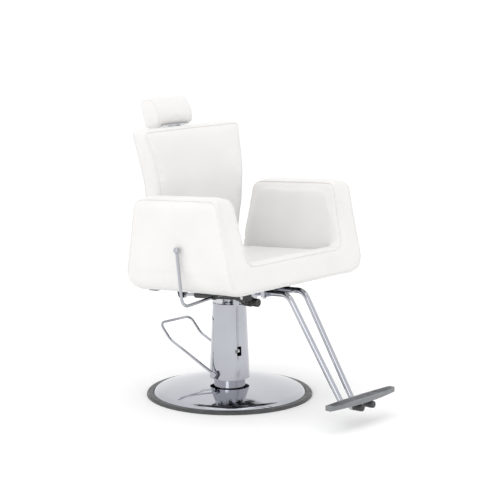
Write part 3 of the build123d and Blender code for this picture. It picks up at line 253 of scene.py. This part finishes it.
def sewn(obj, seams, depth=0.9, width=6.0, pucker=0.35, wave=21.0):
    """Pull the surface in along its seams and pucker it a little beside them."""
    samples = [(p, k * 4.0) for seam in seams for k, p in enumerate(seam)]
    tree = kdtree.KDTree(len(samples))
    for i, (p, _) in enumerate(samples):
        tree.insert(Vector(p), i)
    tree.balance()
    points = coordinates(obj.data)
    out = normals(obj.data)
    distance = np.empty(len(points))
    along = np.empty(len(points))
    for k, p in enumerate(points):
        _, i, d = tree.find(Vector(p))
        distance[k] = d / MM
        along[k] = samples[i][1]
    push = -depth * np.exp(-(distance / width) ** 2)
    push += pucker * np.sin(2 * math.pi * along / wave) * np.exp(-(distance / (2.6 * width)) ** 2)
    set_coordinates(obj.data, points + out * (push * MM)[:, None])
    # mask of painted shade for the cover's colour, strongest on the seam line
    seam_shade = obj.data.attributes.new("seam_shade", "FLOAT", "POINT")
    seam_shade.data.foreach_set("value", np.exp(-(distance / (0.7 * width)) ** 2).astype(np.float32))
    return obj


def welt(name, path, closed, radius):
    """A sewn piping along a path."""
    curve = bpy.data.curves.new(name, "CURVE")
    curve.dimensions = "3D"
    curve.bevel_depth = radius * MM
    curve.bevel_resolution = 3
    curve.use_fill_caps = True
    spline = curve.splines.new("POLY")
    spline.points.add(len(path) - 1)
    for point, p in zip(spline.points, path):
        point.co = (*p, 1)
    spline.use_cyclic_u = closed
    shape = bpy.data.objects.new(name, curve)
    scene.collection.objects.link(shape)
    graph = bpy.context.evaluated_depsgraph_get()
    mesh = bpy.data.meshes.new_from_object(shape.evaluated_get(graph))
    bpy.data.objects.remove(shape)
    obj = bpy.data.objects.new(name, mesh)
    scene.collection.objects.link(obj)
    return smooth_shaded(obj)


# ------------------------------------------------------------------ materials


class Shader:
    """A small helper that builds one node material."""

    def __init__(self, name):
        self.material = bpy.data.materials.new(name)
        self.material.use_nodes = True
        self.tree = self.material.node_tree
        self.surface = self.tree.nodes["Principled BSDF"]
        place = self.add("ShaderNodeTexCoord")
        self.place = place.outputs["Object"]

    def add(self, kind, **settings):
        made = self.tree.nodes.new(kind)
        for key, value in settings.items():
            setattr(made, key, value)
        return made

    def link(self, source, target):
        self.tree.links.new(source, target)

    def set(self, **values):
        for key, value in values.items():
            self.surface.inputs[key.replace("_", " ")].default_value = value
        return self

    def noise(self, scale, detail=3.0, stretch=None, distortion=0.0):
        made = self.add("ShaderNodeTexNoise")
        made.inputs["Scale"].default_value = scale
        made.inputs["Detail"].default_value = detail
        made.inputs["Distortion"].default_value = distortion
        if stretch:
            mapping = self.add("ShaderNodeMapping")
            mapping.inputs["Scale"].default_value = stretch
            self.link(self.place, mapping.inputs["Vector"])
            self.link(mapping.outputs["Vector"], made.inputs["Vector"])
        else:
            self.link(self.place, made.inputs["Vector"])
        return made.outputs["Fac"]

    def cells(self, scale):
        made = self.add("ShaderNodeTexVoronoi", feature="DISTANCE_TO_EDGE")
        made.inputs["Scale"].default_value = scale
        self.link(self.place, made.inputs["Vector"])
        return made.outputs["Distance"]

    def ramp(self, source, stops):
        made = self.add("ShaderNodeValToRGB")
        ends = made.color_ramp.elements
        while len(ends) < len(stops):
            ends.new(0.5)
        for stop, (at, colour) in zip(ends, stops):
            stop.position = at
            stop.color = (*colour, 1)
        self.link(source, made.inputs["Fac"])
        return made.outputs["Color"]

    def grey_ramp(self, source, low, high, start=0.3, end=0.7):
        return self.ramp(source, [(start, (low,) * 3), (end, (high,) * 3)])

    def colour(self, source):
        self.link(source, self.surface.inputs["Base Color"])
        return self

    def roughness(self, source):
        self.link(source, self.surface.inputs["Roughness"])
        return self

    def mixed(self, factor, first, second):
        made = self.add("ShaderNodeMix", data_type="RGBA", blend_type="MIX")
        self.link(factor, made.inputs["Factor"])
        for value, socket in ((first, made.inputs[6]), (second, made.inputs[7])):
            if isinstance(value, tuple):
                socket.default_value = (*value, 1)
            else:
                self.link(value, socket)
        return made.outputs[2]

    def attribute(self, name):
        return self.add("ShaderNodeAttribute", attribute_name=name).outputs["Fac"]

    def bumps(self, *layers):
        """Stack bump layers of (height, strength, depth in millimetres)."""
        below = None
        for height, strength, depth in layers:
            made = self.add("ShaderNodeBump")
            made.inputs["Strength"].default_value = strength
            made.inputs["Distance"].default_value = depth * MM
            self.link(height, made.inputs["Height"])
            if below:
                self.link(below, made.inputs["Normal"])
            below = made.outputs["Normal"]
        self.link(below, self.surface.inputs["Normal"])
        return self


def leatherette(name, tint=(0.785, 0.777, 0.767)):
    """White coated fabric: fine pebble grain, soft handling marks, and painted shade darkening the seams.
    """
    s = Shader(name)
    shade = tuple(c * 0.96 for c in tint)
    cloudy = s.ramp(s.noise(9, 4), [(0.3, shade), (0.72, tint)])
    # painted shade: the colour darkens along the seams by the seam mask
    seam = s.mixed(s.attribute("seam_shade"), cloudy, tuple(c * 0.95 for c in tint))
    s.colour(seam)
    s.roughness(s.grey_ramp(s.noise(55, 5), 0.34, 0.52))
    s.bumps((s.noise(26, 3), 0.25, 1.2), (s.cells(520), 0.30, 0.12), (s.noise(1900, 2), 0.2, 0.03))
    s.set(Specular_IOR_Level=0.45, Coat_Weight=0.08, Coat_Roughness=0.35)
    return s.material


def plated(name, base, low, high):
    """Bright plated metal with faint smudges and hairline scratches."""
    s = Shader(name)
    s.colour(s.mixed(s.grey_ramp(s.noise(7, 4), 0.0, 1.0), base, tuple(c * 0.9 for c in base)))
    s.roughness(s.grey_ramp(s.noise(38, 6, distortion=0.6), low, high))
    s.bumps((s.noise(2400, 2, stretch=(1, 1, 0.03)), 0.05, 0.02))
    s.set(Metallic=1.0)
    return s.material


def brushed(name, base, low, high):
    """Machined or brushed metal with fine directional lines."""
    s = Shader(name)
    lines = s.noise(900, 3, stretch=(1, 1, 0.04))
    s.colour(s.mixed(lines, tuple(c * 0.8 for c in base), base))
    s.roughness(s.grey_ramp(lines, low, high))
    s.bumps((lines, 0.15, 0.05))
    s.set(Metallic=1.0)
    return s.material


def painted(name, base, rough=0.36):
    """Powder coat with a slight orange peel and dusty patches."""
    s = Shader(name)
    dusty = tuple(min(1, c * 1.8 + 0.01) for c in base)
    s.colour(s.mixed(s.grey_ramp(s.noise(16, 5), 0.0, 0.5), base, dusty))
    s.roughness(s.grey_ramp(s.noise(90, 4), rough - 0.06, rough + 0.12))
    s.bumps((s.noise(700, 2), 0.25, 0.08))
    s.set(Coat_Weight=0.2, Coat_Roughness=0.3)
    return s.material


def moulded(name, base, worn, rough, grain):
    """Moulded rubber or plastic: fine grain, lighter on its edges as scuffing and painted highlight."""
    s = Shader(name)
    # convex edges lighter by pointiness: partly scuffing, partly painted highlight
    edge = s.grey_ramp(s.add("ShaderNodeNewGeometry").outputs["Pointiness"], 0.0, 0.7, 0.52, 0.60)
    worn_and_highlit = s.mixed(edge, s.mixed(s.grey_ramp(s.noise(24, 6), 0.0, 0.6), base, worn), worn)
    s.colour(worn_and_highlit)
    s.roughness(s.grey_ramp(s.noise(60, 5), rough - 0.1, rough + 0.1))
    s.bumps((s.noise(grain, 3), 0.35, 0.12), (s.cells(grain * 0.6), 0.2, 0.06))
    return s.material


def casting(name, base):
    """A rough sand casting under thin paint."""
    s = Shader(name)
    s.colour(s.ramp(s.noise(40, 6), [(0.35, base), (0.75, tuple(c * 1.7 for c in base))]))
    s.roughness(s.grey_ramp(s.noise(110, 4), 0.5, 0.8))
    s.bumps((s.noise(260, 5), 0.6, 0.5))
    s.set(Metallic=0.4)
    return s.material


def layered_wood(name):
    """Birch ply: pale faces with long grain."""
    s = Shader(name)
    grain = s.noise(60, 6, stretch=(0.12, 1, 1), distortion=1.2)
    s.colour(s.ramp(grain, [(0.3, (0.42, 0.29, 0.16)), (0.7, (0.62, 0.47, 0.30))]))
    s.roughness(s.grey_ramp(grain, 0.55, 0.75))
    s.bumps((grain, 0.3, 0.3))
    return s.material


def woven(name, base):
    """Thin black dust-cover cloth."""
    s = Shader(name)
    s.colour(s.mixed(s.noise(700, 3), base, tuple(c * 2.2 for c in base)))
    s.roughness(s.grey_ramp(s.noise(300, 3), 0.8, 0.95))
    s.bumps((s.cells(900), 0.5, 0.15))
    s.set(Sheen_Weight=0.2)
    return s.material


white = leatherette("white_leatherette")
# base colour darkened and tinted lavender: painted reflection of the surroundings on top of the plate's own
# colour
chrome = plated("chrome_plate", (0.46, 0.47, 0.51), 0.03, 0.10)
steel = brushed("bright_steel", (0.62, 0.63, 0.65), 0.22, 0.4)
bronze = brushed("bearing_bronze", (0.55, 0.38, 0.17), 0.25, 0.45)
black_paint = painted("black_powder_coat", (0.012, 0.012, 0.013))
black_rubber = moulded("black_rubber", (0.026, 0.027, 0.029), (0.08, 0.08, 0.082), 0.44, 420)
slate_rubber = moulded("slate_rubber", (0.075, 0.082, 0.090), (0.24, 0.25, 0.26), 0.46, 380)
black_plastic = moulded("black_plastic", (0.014, 0.014, 0.015), (0.05, 0.05, 0.05), 0.42, 900)
iron = casting("painted_casting", (0.03, 0.03, 0.032))
plywood = layered_wood("birch_ply")
dust_cloth = woven("black_dust_cloth", (0.012, 0.012, 0.013))

SLOT_MATERIALS = {
    "rubber": black_rubber, "cast_iron": iron, "black_paint": black_paint, "steel": steel,
    "chrome": chrome, "bronze": bronze, "plywood": plywood, "white_upholstery": white,
    "ribbed_slate": slate_rubber, "black_plastic": black_plastic,
}
for part in frame["record"]["subparts"]:
    holder = nodes[part["node"]]
    holder.data.materials.clear()
    holder.data.materials.append(SLOT_MATERIALS[part["material_slot"]])


def finished(obj, material, body, replaces=()):
    """Give a piece its material and body, and hide the CAD parts it replaces."""
    obj.data.materials.clear()
    obj.data.materials.append(material)
    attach(obj, body)
    if replaces:
        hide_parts(*replaces)
    return obj


def welted(cover, names, seams, body, closed, lift, radius):
    """Sew a welt on each seam of a cover; lift and radius in millimetres."""
    for name, seam in zip(names, seams):
        path = on_surface(cover, seam, closed=closed, lift=lift * MM)
        finished(welt(name, path, closed, radius), white, body)


# ------------------------------------------------------------------ seat frame
SEAT_TILT = math.radians(4)
SEAT_ORIGIN = Vector((0, 0, 420))


def seat_world(x, y, z):
    """A point of the tilted seat frame, from millimetres to the chair's metres."""
    c, s = math.cos(SEAT_TILT), math.sin(SEAT_TILT)
    return (Vector((x, y * c + z * s, z * c - y * s)) + SEAT_ORIGIN) * MM


SHELL_HALF = round(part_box("arm_pad_left")[1].x / MM)
SHELL_BOTTOM = -25
ARM_TOP = 284
ARM_INNER_TOP = 251
ARM_INNER_LOW = 232
SEAT_ROLL = 64
DECK = 20
FRONT = (-315, -265)
REAR = (169, 99)
SEAT_REAR = 139.5
SHELL_DEPTH = 400  # about, for the depth of the front roll
ROLL_DEPTH = 34
FRONT_SOFT = 7
REAR_SOFT = 10
SLACK = -2.5  # inset of the rough shell; it starts a little large, since stuffing draws its edges in


def edge_at(ends, z):
    """Front or rear edge of the arms at height z of the seat frame."""
    return ends[0] + (ends[1] - ends[0]) * (z - SHELL_BOTTOM) / (ARM_TOP - SHELL_BOTTOM)


def corner_cut(z, top_radius, low_radius):
    """How far a rounded corner of the side outline steps back at height z."""
    cut = 0.0
    up = z - (ARM_TOP - top_radius)
    if up > 0:
        cut += top_radius - math.sqrt(max(top_radius ** 2 - up ** 2, 0))
    down = SHELL_BOTTOM + low_radius - z
    if down > 0:
        cut += low_radius - math.sqrt(max(low_radius ** 2 - down ** 2, 0))
    return cut


def shell_front(z):
    return edge_at(FRONT, z) + corner_cut(z, 40, 18)


def shell_rear(x, z):
    share = min(max((abs(x) - 214) / 22, 0), 1)
    share = share * share * (3 - 2 * share)
    arm = edge_at(REAR, z) - corner_cut(z, 40, 44)
    return SEAT_REAR + (arm - SEAT_REAR) * share


def shell_section(floor, inner_corner):
    """The U of arms and seat in the front view, with its floor at a given height."""
    low = ARM_INNER_LOW
    bottom = SHELL_BOTTOM - 1  # flattened back to the shell's bottom afterwards
    corners = [(-SHELL_HALF, bottom), (SHELL_HALF, bottom), (SHELL_HALF, ARM_TOP),
               (ARM_INNER_TOP, ARM_TOP), (low, floor), (-low, floor), (-ARM_INNER_TOP, ARM_TOP),
               (-SHELL_HALF, ARM_TOP)]
    top = 27
    return rounded(corners, [62, 62, top, top, inner_corner, inner_corner, top, top])


def shell_rings():
    """Rings of the shell from front to rear, with soft ends."""
    rings = []
    front_end, rear_end = end_steps(FRONT_SOFT), end_steps(REAR_SOFT)[::-1]
    stations = [("front", depth, inset) for depth, inset in front_end]
    stations += [("mid", k / 14, 0) for k in range(1, 14)]
    stations += [("rear", depth, inset) for depth, inset in rear_end]
    for kind, value, inset in stations:
        if kind == "front":
            floor = SEAT_ROLL
        elif kind == "rear":
            floor = DECK
        else:
            floor = SEAT_ROLL if value * SHELL_DEPTH < ROLL_DEPTH else DECK
        outline = np.array(shell_section(floor, 24 if floor == SEAT_ROLL else 12))
        outline += inward(outline) * (inset + SLACK)
        ring = []
        for x, z in outline:
            front, rear = shell_front(z) + SLACK, shell_rear(x, z) - SLACK
            if kind == "front":
                y = front + value
            elif kind == "rear":
                y = rear - value
            else:
                y = front + FRONT_SOFT + (rear - front - FRONT_SOFT - REAR_SOFT) * value
            ring.append(seat_world(x, y, z))
        rings.append(ring)
    return rings


def side_outline(grow):
    """The arm's outline in the side view, from the rear foot over the top to the front foot."""
    low = 34
    corners = [(edge_at(REAR, low) + grow, low), (edge_at(REAR, ARM_TOP) + grow, ARM_TOP + grow),
               (edge_at(FRONT, ARM_TOP) - grow, ARM_TOP + grow), (edge_at(FRONT, low) - grow, low)]
    return rounded(corners, [0, 40, 40, 0], closed=False, steps=8)


def outer_seam(grow=4):
    """Seam round both outer sides and along the bottom of the front band."""
    half, corner = SHELL_HALF + grow, 62
    right = [(-half, y, z) for y, z in side_outline(grow)]
    for k in range(1, 9):
        a = math.pi / 2 * k / 8
        x = SHELL_HALF - corner + (corner + grow) * math.cos(a)
        z = SHELL_BOTTOM + corner - (corner + grow) * math.sin(a)
        right.append((-x, edge_at(FRONT, z) - grow, z))
    left = [(-x, y, z) for x, y, z in right[::-1]]
    return [seat_world(*p) for p in right + left]


def inner_seam(grow=4):
    """Seam round both inner sides and along the top of the front band."""
    corner = 24
    right = []
    for y, z in side_outline(grow):
        if z < SEAT_ROLL + corner:
            z = SEAT_ROLL + corner
        share = (z - SEAT_ROLL) / (ARM_TOP - SEAT_ROLL)
        x = ARM_INNER_LOW + (ARM_INNER_TOP - ARM_INNER_LOW) * min(share, 1) - grow
        right.append((-x, y, z))
    for k in range(1, 7):
        a = math.pi / 2 * k / 6
        x = ARM_INNER_LOW - corner + (corner - grow) * math.cos(a)
        z = SEAT_ROLL + corner - (corner - grow) * math.sin(a)
        right.append((-x, edge_at(FRONT, z) - grow, z))
    left = [(-x, y, z) for x, y, z in right[::-1]]
    return [seat_world(*p) for p in right + left]


def seat_local(points):
    """Points in metres, turned into the seat frame's millimetres."""
    c, s = math.cos(SEAT_TILT), math.sin(SEAT_TILT)
    p = points / MM - np.array(SEAT_ORIGIN)
    return np.stack([p[:, 0], p[:, 1] * c - p[:, 2] * s, p[:, 1] * s + p[:, 2] * c], axis=1)


def flat_under(obj, level):
    """Keep the object's underside flat at a level of the seat frame."""
    local = seat_local(coordinates(obj.data))
    local[:, 2] = np.maximum(local[:, 2], level)
    set_coordinates(obj.data, [seat_world(*p) for p in local])
    return obj


shell = padded_form(lofted("shell_cover", shell_rings()), voxel=8, cap=6)
flat_under(shell, SHELL_BOTTOM + 0.2)
SEAM_STEP = 4 * MM
shell_seams = [resampled(outer_seam(), SEAM_STEP), resampled(inner_seam(), SEAM_STEP)]
shell_seams = [on_surface(shell, path, closed=False) for path in shell_seams]
sewn(shell, shell_seams)
finished(shell, white, "seat", ("arm_pad_right", "arm_pad_left", "seat_base_pad"))
welted(shell, ("shell_welt_outer", "shell_welt_inner"), shell_seams, "seat", False, 1.0, 2.1)

# ------------------------------------------------------------------ dust cover under the seat
DUST_HALF = 238
DUST_Y = (-272, 120)
DUST_LEVEL = -25.0
DUST_T = 0.25
DUST_TURN = 14  # width of the edge that is turned under
STAPLE = (9.0, 0.9, 0.5)
STAPLE_STEP = 34
STAPLE_INSET = 7  # half of the turned edge


def dust_cover():
    """A thin sheet with a turned edge, stapled under the seat."""
    middle, half_y = sum(DUST_Y) / 2, (DUST_Y[1] - DUST_Y[0]) / 2
    outline = resampled(rounded(rectangle(DUST_HALF, half_y), [30] * 4), 10, closed=True)
    rings = []
    for level, inset in ((DUST_LEVEL, 0), (DUST_LEVEL - DUST_T, 0), (DUST_LEVEL - DUST_T, DUST_TURN),
                         (DUST_LEVEL - 0.15, DUST_TURN + 2)):
        ring = outline + inward(outline) * inset
        rings.append([seat_world(x, middle + y, level) for x, y in ring])
    return lofted("dust_cover", rings)


def staples():
    """Staples along the dust cover's turned edge."""
    middle, half_y = sum(DUST_Y) / 2, (DUST_Y[1] - DUST_Y[0]) / 2
    row = rectangle(DUST_HALF - STAPLE_INSET, half_y - STAPLE_INSET)
    path = resampled(rounded(row, [24] * 4), STAPLE_STEP, closed=True)
    ahead = np.roll(path, -1, axis=0) - np.roll(path, 1, axis=0)
    ahead /= np.linalg.norm(ahead, axis=1)[:, None]
    points, faces = [], []
    for (x, y), (u, v) in zip(path, ahead):
        first = len(points)
        for level in (DUST_LEVEL - DUST_T, DUST_LEVEL - DUST_T - STAPLE[2]):
            for a, b in ((-1, -1), (1, -1), (1, 1), (-1, 1)):
                du, dv = a * STAPLE[0] / 2, b * STAPLE[1] / 2
                points.append(seat_world(x + du * u - dv * v, middle + y + du * v + dv * u, level))
        faces += [[first + k for k in face] for face in
                  ((0, 1, 2, 3), (7, 6, 5, 4), (0, 4, 5, 1), (1, 5, 6, 2), (2, 6, 7, 3), (3, 7, 4, 0))]
    return new_object("dust_cover_staples", points, faces)


dust = finished(dust_cover(), dust_cloth, "seat")
finished(staples(), steel, "seat")

# ------------------------------------------------------------------ seat cushion
CUSHION_HALF = 218
CUSHION_Y = (-254, 112)
CUSHION_Z = (22, 53)


def cushion_rings():
    """Rings of the loose cushion from bottom to top, crowned in the middle."""
    middle = (CUSHION_Y[0] + CUSHION_Y[1]) / 2
    half_y = (CUSHION_Y[1] - CUSHION_Y[0]) / 2
    outline = np.array(rounded(rectangle(CUSHION_HALF, half_y), [26] * 4))
    height = CUSHION_Z[1] - CUSHION_Z[0]
    steps = end_steps(11) + [(height - d, i) for d, i in end_steps(13)[::-1]]
    rings = []
    for depth, inset in steps:
        ring = outline + inward(outline) * inset
        rings.append([seat_world(x, middle + y, CUSHION_Z[0] + depth) for x, y in ring])
    return rings


cushion = padded_form(lofted("seat_cushion_cover", cushion_rings()), voxel=6, cap=7)


def cushion_seam(z):
    """Seam round the cushion's edge at height z."""
    middle = (CUSHION_Y[0] + CUSHION_Y[1]) / 2
    half_x, half_y = CUSHION_HALF + 6, (CUSHION_Y[1] - CUSHION_Y[0]) / 2 + 6
    path = [seat_world(x, middle + y, z) for x, y in rounded(rectangle(half_x, half_y), [30] * 4)]
    return resampled(path, SEAM_STEP, closed=True)


cushion_line = on_surface(cushion, cushion_seam(CUSHION_Z[1] + 4), closed=True)
sewn(cushion, [cushion_line], depth=1.4, width=8, pucker=0.6, wave=26)
finished(cushion, white, "seat", ("seat_cushion",))
welted(cushion, ("seat_cushion_welt",), [cushion_line], "seat", True, 0.6, 1.7)

# ------------------------------------------------------------------ back
BACK_Z = (465, 893)
BACK_SLACK = -3.0  # inset of the rough back
BACK_STATIONS = [465, 510, 560, 605, 655, 700, 735, 765, 800, 830, 860, 893]
BACK_HALF = [196, 198, 200.5, 203, 204.5, 205.5, 208, 211.5, 215.5, 219, 224, 230]
BACK_FRONT = [137, 135, 132, 126.5, 122, 121, 122.5, 127.5, 136, 144, 154.5, 167]
BACK_REAR = [190, 190, 190, 190, 190.5, 194, 199, 205, 212.5, 219, 225.5, 232]
BACK_HOLLOW = [5, 9, 13, 16, 18, 19, 19, 18, 16, 14, 12, 9]


def along_back(values, z):
    """A smooth value at height z from the list of stations."""
    at = np.clip(z, *BACK_Z)
    near = [np.interp(np.clip(at + d, *BACK_Z), BACK_STATIONS, values) for d in (-24, -12, 0, 12, 24)]
    return float(np.dot(near, [1, 3, 4, 3, 1]) / 12)


def back_outline(z, inset):
    """The back's outline seen from above at height z: hollow front, flat rear."""
    half, front, rear = (along_back(v, z) for v in (BACK_HALF, BACK_FRONT, BACK_REAR))
    hollow = along_back(BACK_HOLLOW, z)
    corners = [(-half, front), (half, front), (half, rear), (-half, rear)]
    outline = resampled(rounded(corners, [6, 6, 13, 13], steps=5), 8, closed=True)
    depth = (outline[:, 1] - front) / (rear - front)
    bowl = hollow * (1 - (outline[:, 0] / half) ** 2) * np.clip(1 - depth * 1.6, 0, 1)
    outline = outline + inward(outline) * inset
    outline[:, 1] += bowl
    return outline


def back_rings():
    """Rings of the back from bottom to top, with a soft top and bottom."""
    low, high = BACK_Z
    heights = [(low + d, i) for d, i in end_steps(8)]
    heights += [(z, 0) for z in np.linspace(low + 22, high - 26, 30)]
    heights += [(high + 3 - d, i) for d, i in end_steps(12)[::-1]]
    count = len(back_outline(heights[0][0], heights[0][1] + BACK_SLACK))
    rings = []
    for z, inset in heights:
        outline = back_outline(z, inset + BACK_SLACK)
        outline = np.stack([np.interp(np.linspace(0, 1, count, endpoint=False),
                                      np.linspace(0, 1, len(outline), endpoint=False), outline[:, k],
                                      period=1) for k in (0, 1)], axis=1)
        rings.append([Vector((x, y, z)) * MM for x, y in outline])
    return rings


back = padded_form(lofted("back_cover", back_rings()), voxel=6, cap=6)


def back_edge(side_front, grow=4):
    """Seam loop round the front or the rear of the back."""
    values = BACK_FRONT if side_front else BACK_REAR
    out = -grow if side_front else grow
    low, high = BACK_Z[0] + 2, BACK_Z[1]
    path = []
    corners = [(-1, low), (-1, high), (1, high), (1, low)]
    flat = [(s * (along_back(BACK_HALF, z) + grow), z + (grow if z == high else -grow)) for s, z in corners]
    flat = resampled(rounded(flat, [18, 22, 22, 18]), 4, closed=True)
    for x, z in flat:
        half = along_back(BACK_HALF, z)
        if abs(x) > half * 0.9:
            x = math.copysign(half + grow, x) if low + 20 < z < high - 20 else x
        y = along_back(values, z) + out
        if side_front:
            y += along_back(BACK_HOLLOW, z) * (1 - min(abs(x) / half, 1) ** 2)
        path.append(Vector((x, y, z)) * MM)
    return path


# the rear face stays flat for the bars and the headrest socket
points = coordinates(back.data)
limit = np.array([along_back(BACK_REAR, z) for z in points[:, 2] / MM]) - 0.5
points[:, 1] = np.minimum(points[:, 1], limit * MM)
set_coordinates(back.data, points)
back_seams = [on_surface(back, back_edge(flag), closed=True) for flag in (True, False)]
sewn(back, back_seams)
finished(back, white, "backrest", ("back_pad", "rear_panel"))
welted(back, ("back_welt_front", "back_welt_rear"), back_seams, "backrest", True, 1.0, 2.1)

# ------------------------------------------------------------------ headrest
PILLOW_PIVOT = Vector((0, 242, 886))
PILLOW_LEAN = math.radians(17)
PILLOW_HALF = 82


def pillow_world(x, rear, up):
    """A point of the leaning headrest, from millimetres to the chair's metres."""
    c, s = math.cos(PILLOW_LEAN), math.sin(PILLOW_LEAN)
    return (PILLOW_PIVOT + Vector((x, rear * c + up * s, up * c - rear * s))) * MM


PILLOW_SHAPE = rounded([(64.9, 12.5), (-2, 12.5), (-10.5, 38), (-10.5, 66), (6, 108), (64.9, 111.3)],
                       [8, 20, 40, 60, 14, 14], steps=5)


def pillow_rings():
    """Rings of the headrest pillow from one end to the other."""
    outline = resampled(PILLOW_SHAPE, 4, closed=True)
    width = 2 * PILLOW_HALF + 6
    steps = end_steps(10) + [(width * k / 8, 0) for k in range(1, 8)]
    steps += [(width - d, i) for d, i in end_steps(10)[::-1]]
    rings = []
    for depth, inset in steps:
        ring = outline + inward(outline) * (inset - 1)
        rings.append([pillow_world(depth - width / 2, a, b) for a, b in ring])
    return rings


def pillow_seam(side):
    """Seam round one end of the pillow."""
    outline = np.array(resampled(PILLOW_SHAPE, 4, closed=True))
    outline -= inward(outline) * 4
    return [pillow_world(side * (PILLOW_HALF + 2), a, b) for a, b in outline]


pillow = padded_form(lofted("headrest_cover", pillow_rings()), voxel=4, cap=5)
pillow_seams = [on_surface(pillow, pillow_seam(side), closed=True) for side in (-1, 1)]
sewn(pillow, pillow_seams, depth=1.2, width=6, pucker=0.35, wave=18)
finished(pillow, white, "headrest", ("headrest_pillow",))
welted(pillow, ("headrest_welt_right", "headrest_welt_left"), pillow_seams, "headrest", True, 0.6, 1.8)

# ------------------------------------------------------------------ stage, lights, camera
floor_mesh = bpy.data.meshes.new("floor")
floor_mesh.from_pydata([(x, y, 0) for x, y in rectangle(30, 30)], [], [(0, 1, 2, 3)])
floor = bpy.data.objects.new("floor", floor_mesh)
scene.collection.objects.link(floor)
ground = Shader("studio_floor")
ground.colour(ground.ramp(ground.noise(0.8, 3), [(0.3, (0.95, 0.95, 0.95)), (0.7, (0.97, 0.97, 0.97))]))
ground.set(Roughness=0.9, Specular_IOR_Level=0.1)
floor.data.materials.append(ground.material)


LIGHT_AIM = Vector((0, 0, 0.45))


def area_light(name, direction, distance, size, power):
    """A soft box that shines at the chair from a direction."""
    data = bpy.data.lights.new(name, "AREA")
    data.shape = "DISK"
    data.size = size
    data.energy = power
    lamp = bpy.data.objects.new(name, data)
    away = Vector(direction).normalized()
    lamp.location = LIGHT_AIM + away * distance
    lamp.rotation_euler = away.to_track_quat("Z", "Y").to_euler()
    scene.collection.objects.link(lamp)
    return lamp


area_light("side_key", (-0.495, 0.80, 0.33), 6.0, 0.7, 14)
area_light("top_fill", (-0.1, -0.1, 1), 4.5, 4.0, 25)
area_light("front_fill", (-0.92, -0.42, 0.3), 6.0, 2.5, 26)

world = bpy.data.worlds.new("studio")
world.use_nodes = True
background = world.node_tree.nodes["Background"]
background.inputs["Color"].default_value = (1, 1, 1, 1)
background.inputs["Strength"].default_value = 1.10
scene.world = world

camera_data = bpy.data.cameras.new("camera")
camera_data.lens = 123.09
camera_data.sensor_width = 36
camera = bpy.data.objects.new("camera", camera_data)
camera.location = (-4.162, -3.7739, 1.4827)
camera.rotation_euler = (math.radians(80), 0, math.radians(-48.5))
camera_data.clip_end = 200
scene.collection.objects.link(camera)
scene.camera = camera
scene.view_settings.view_transform = "Standard"
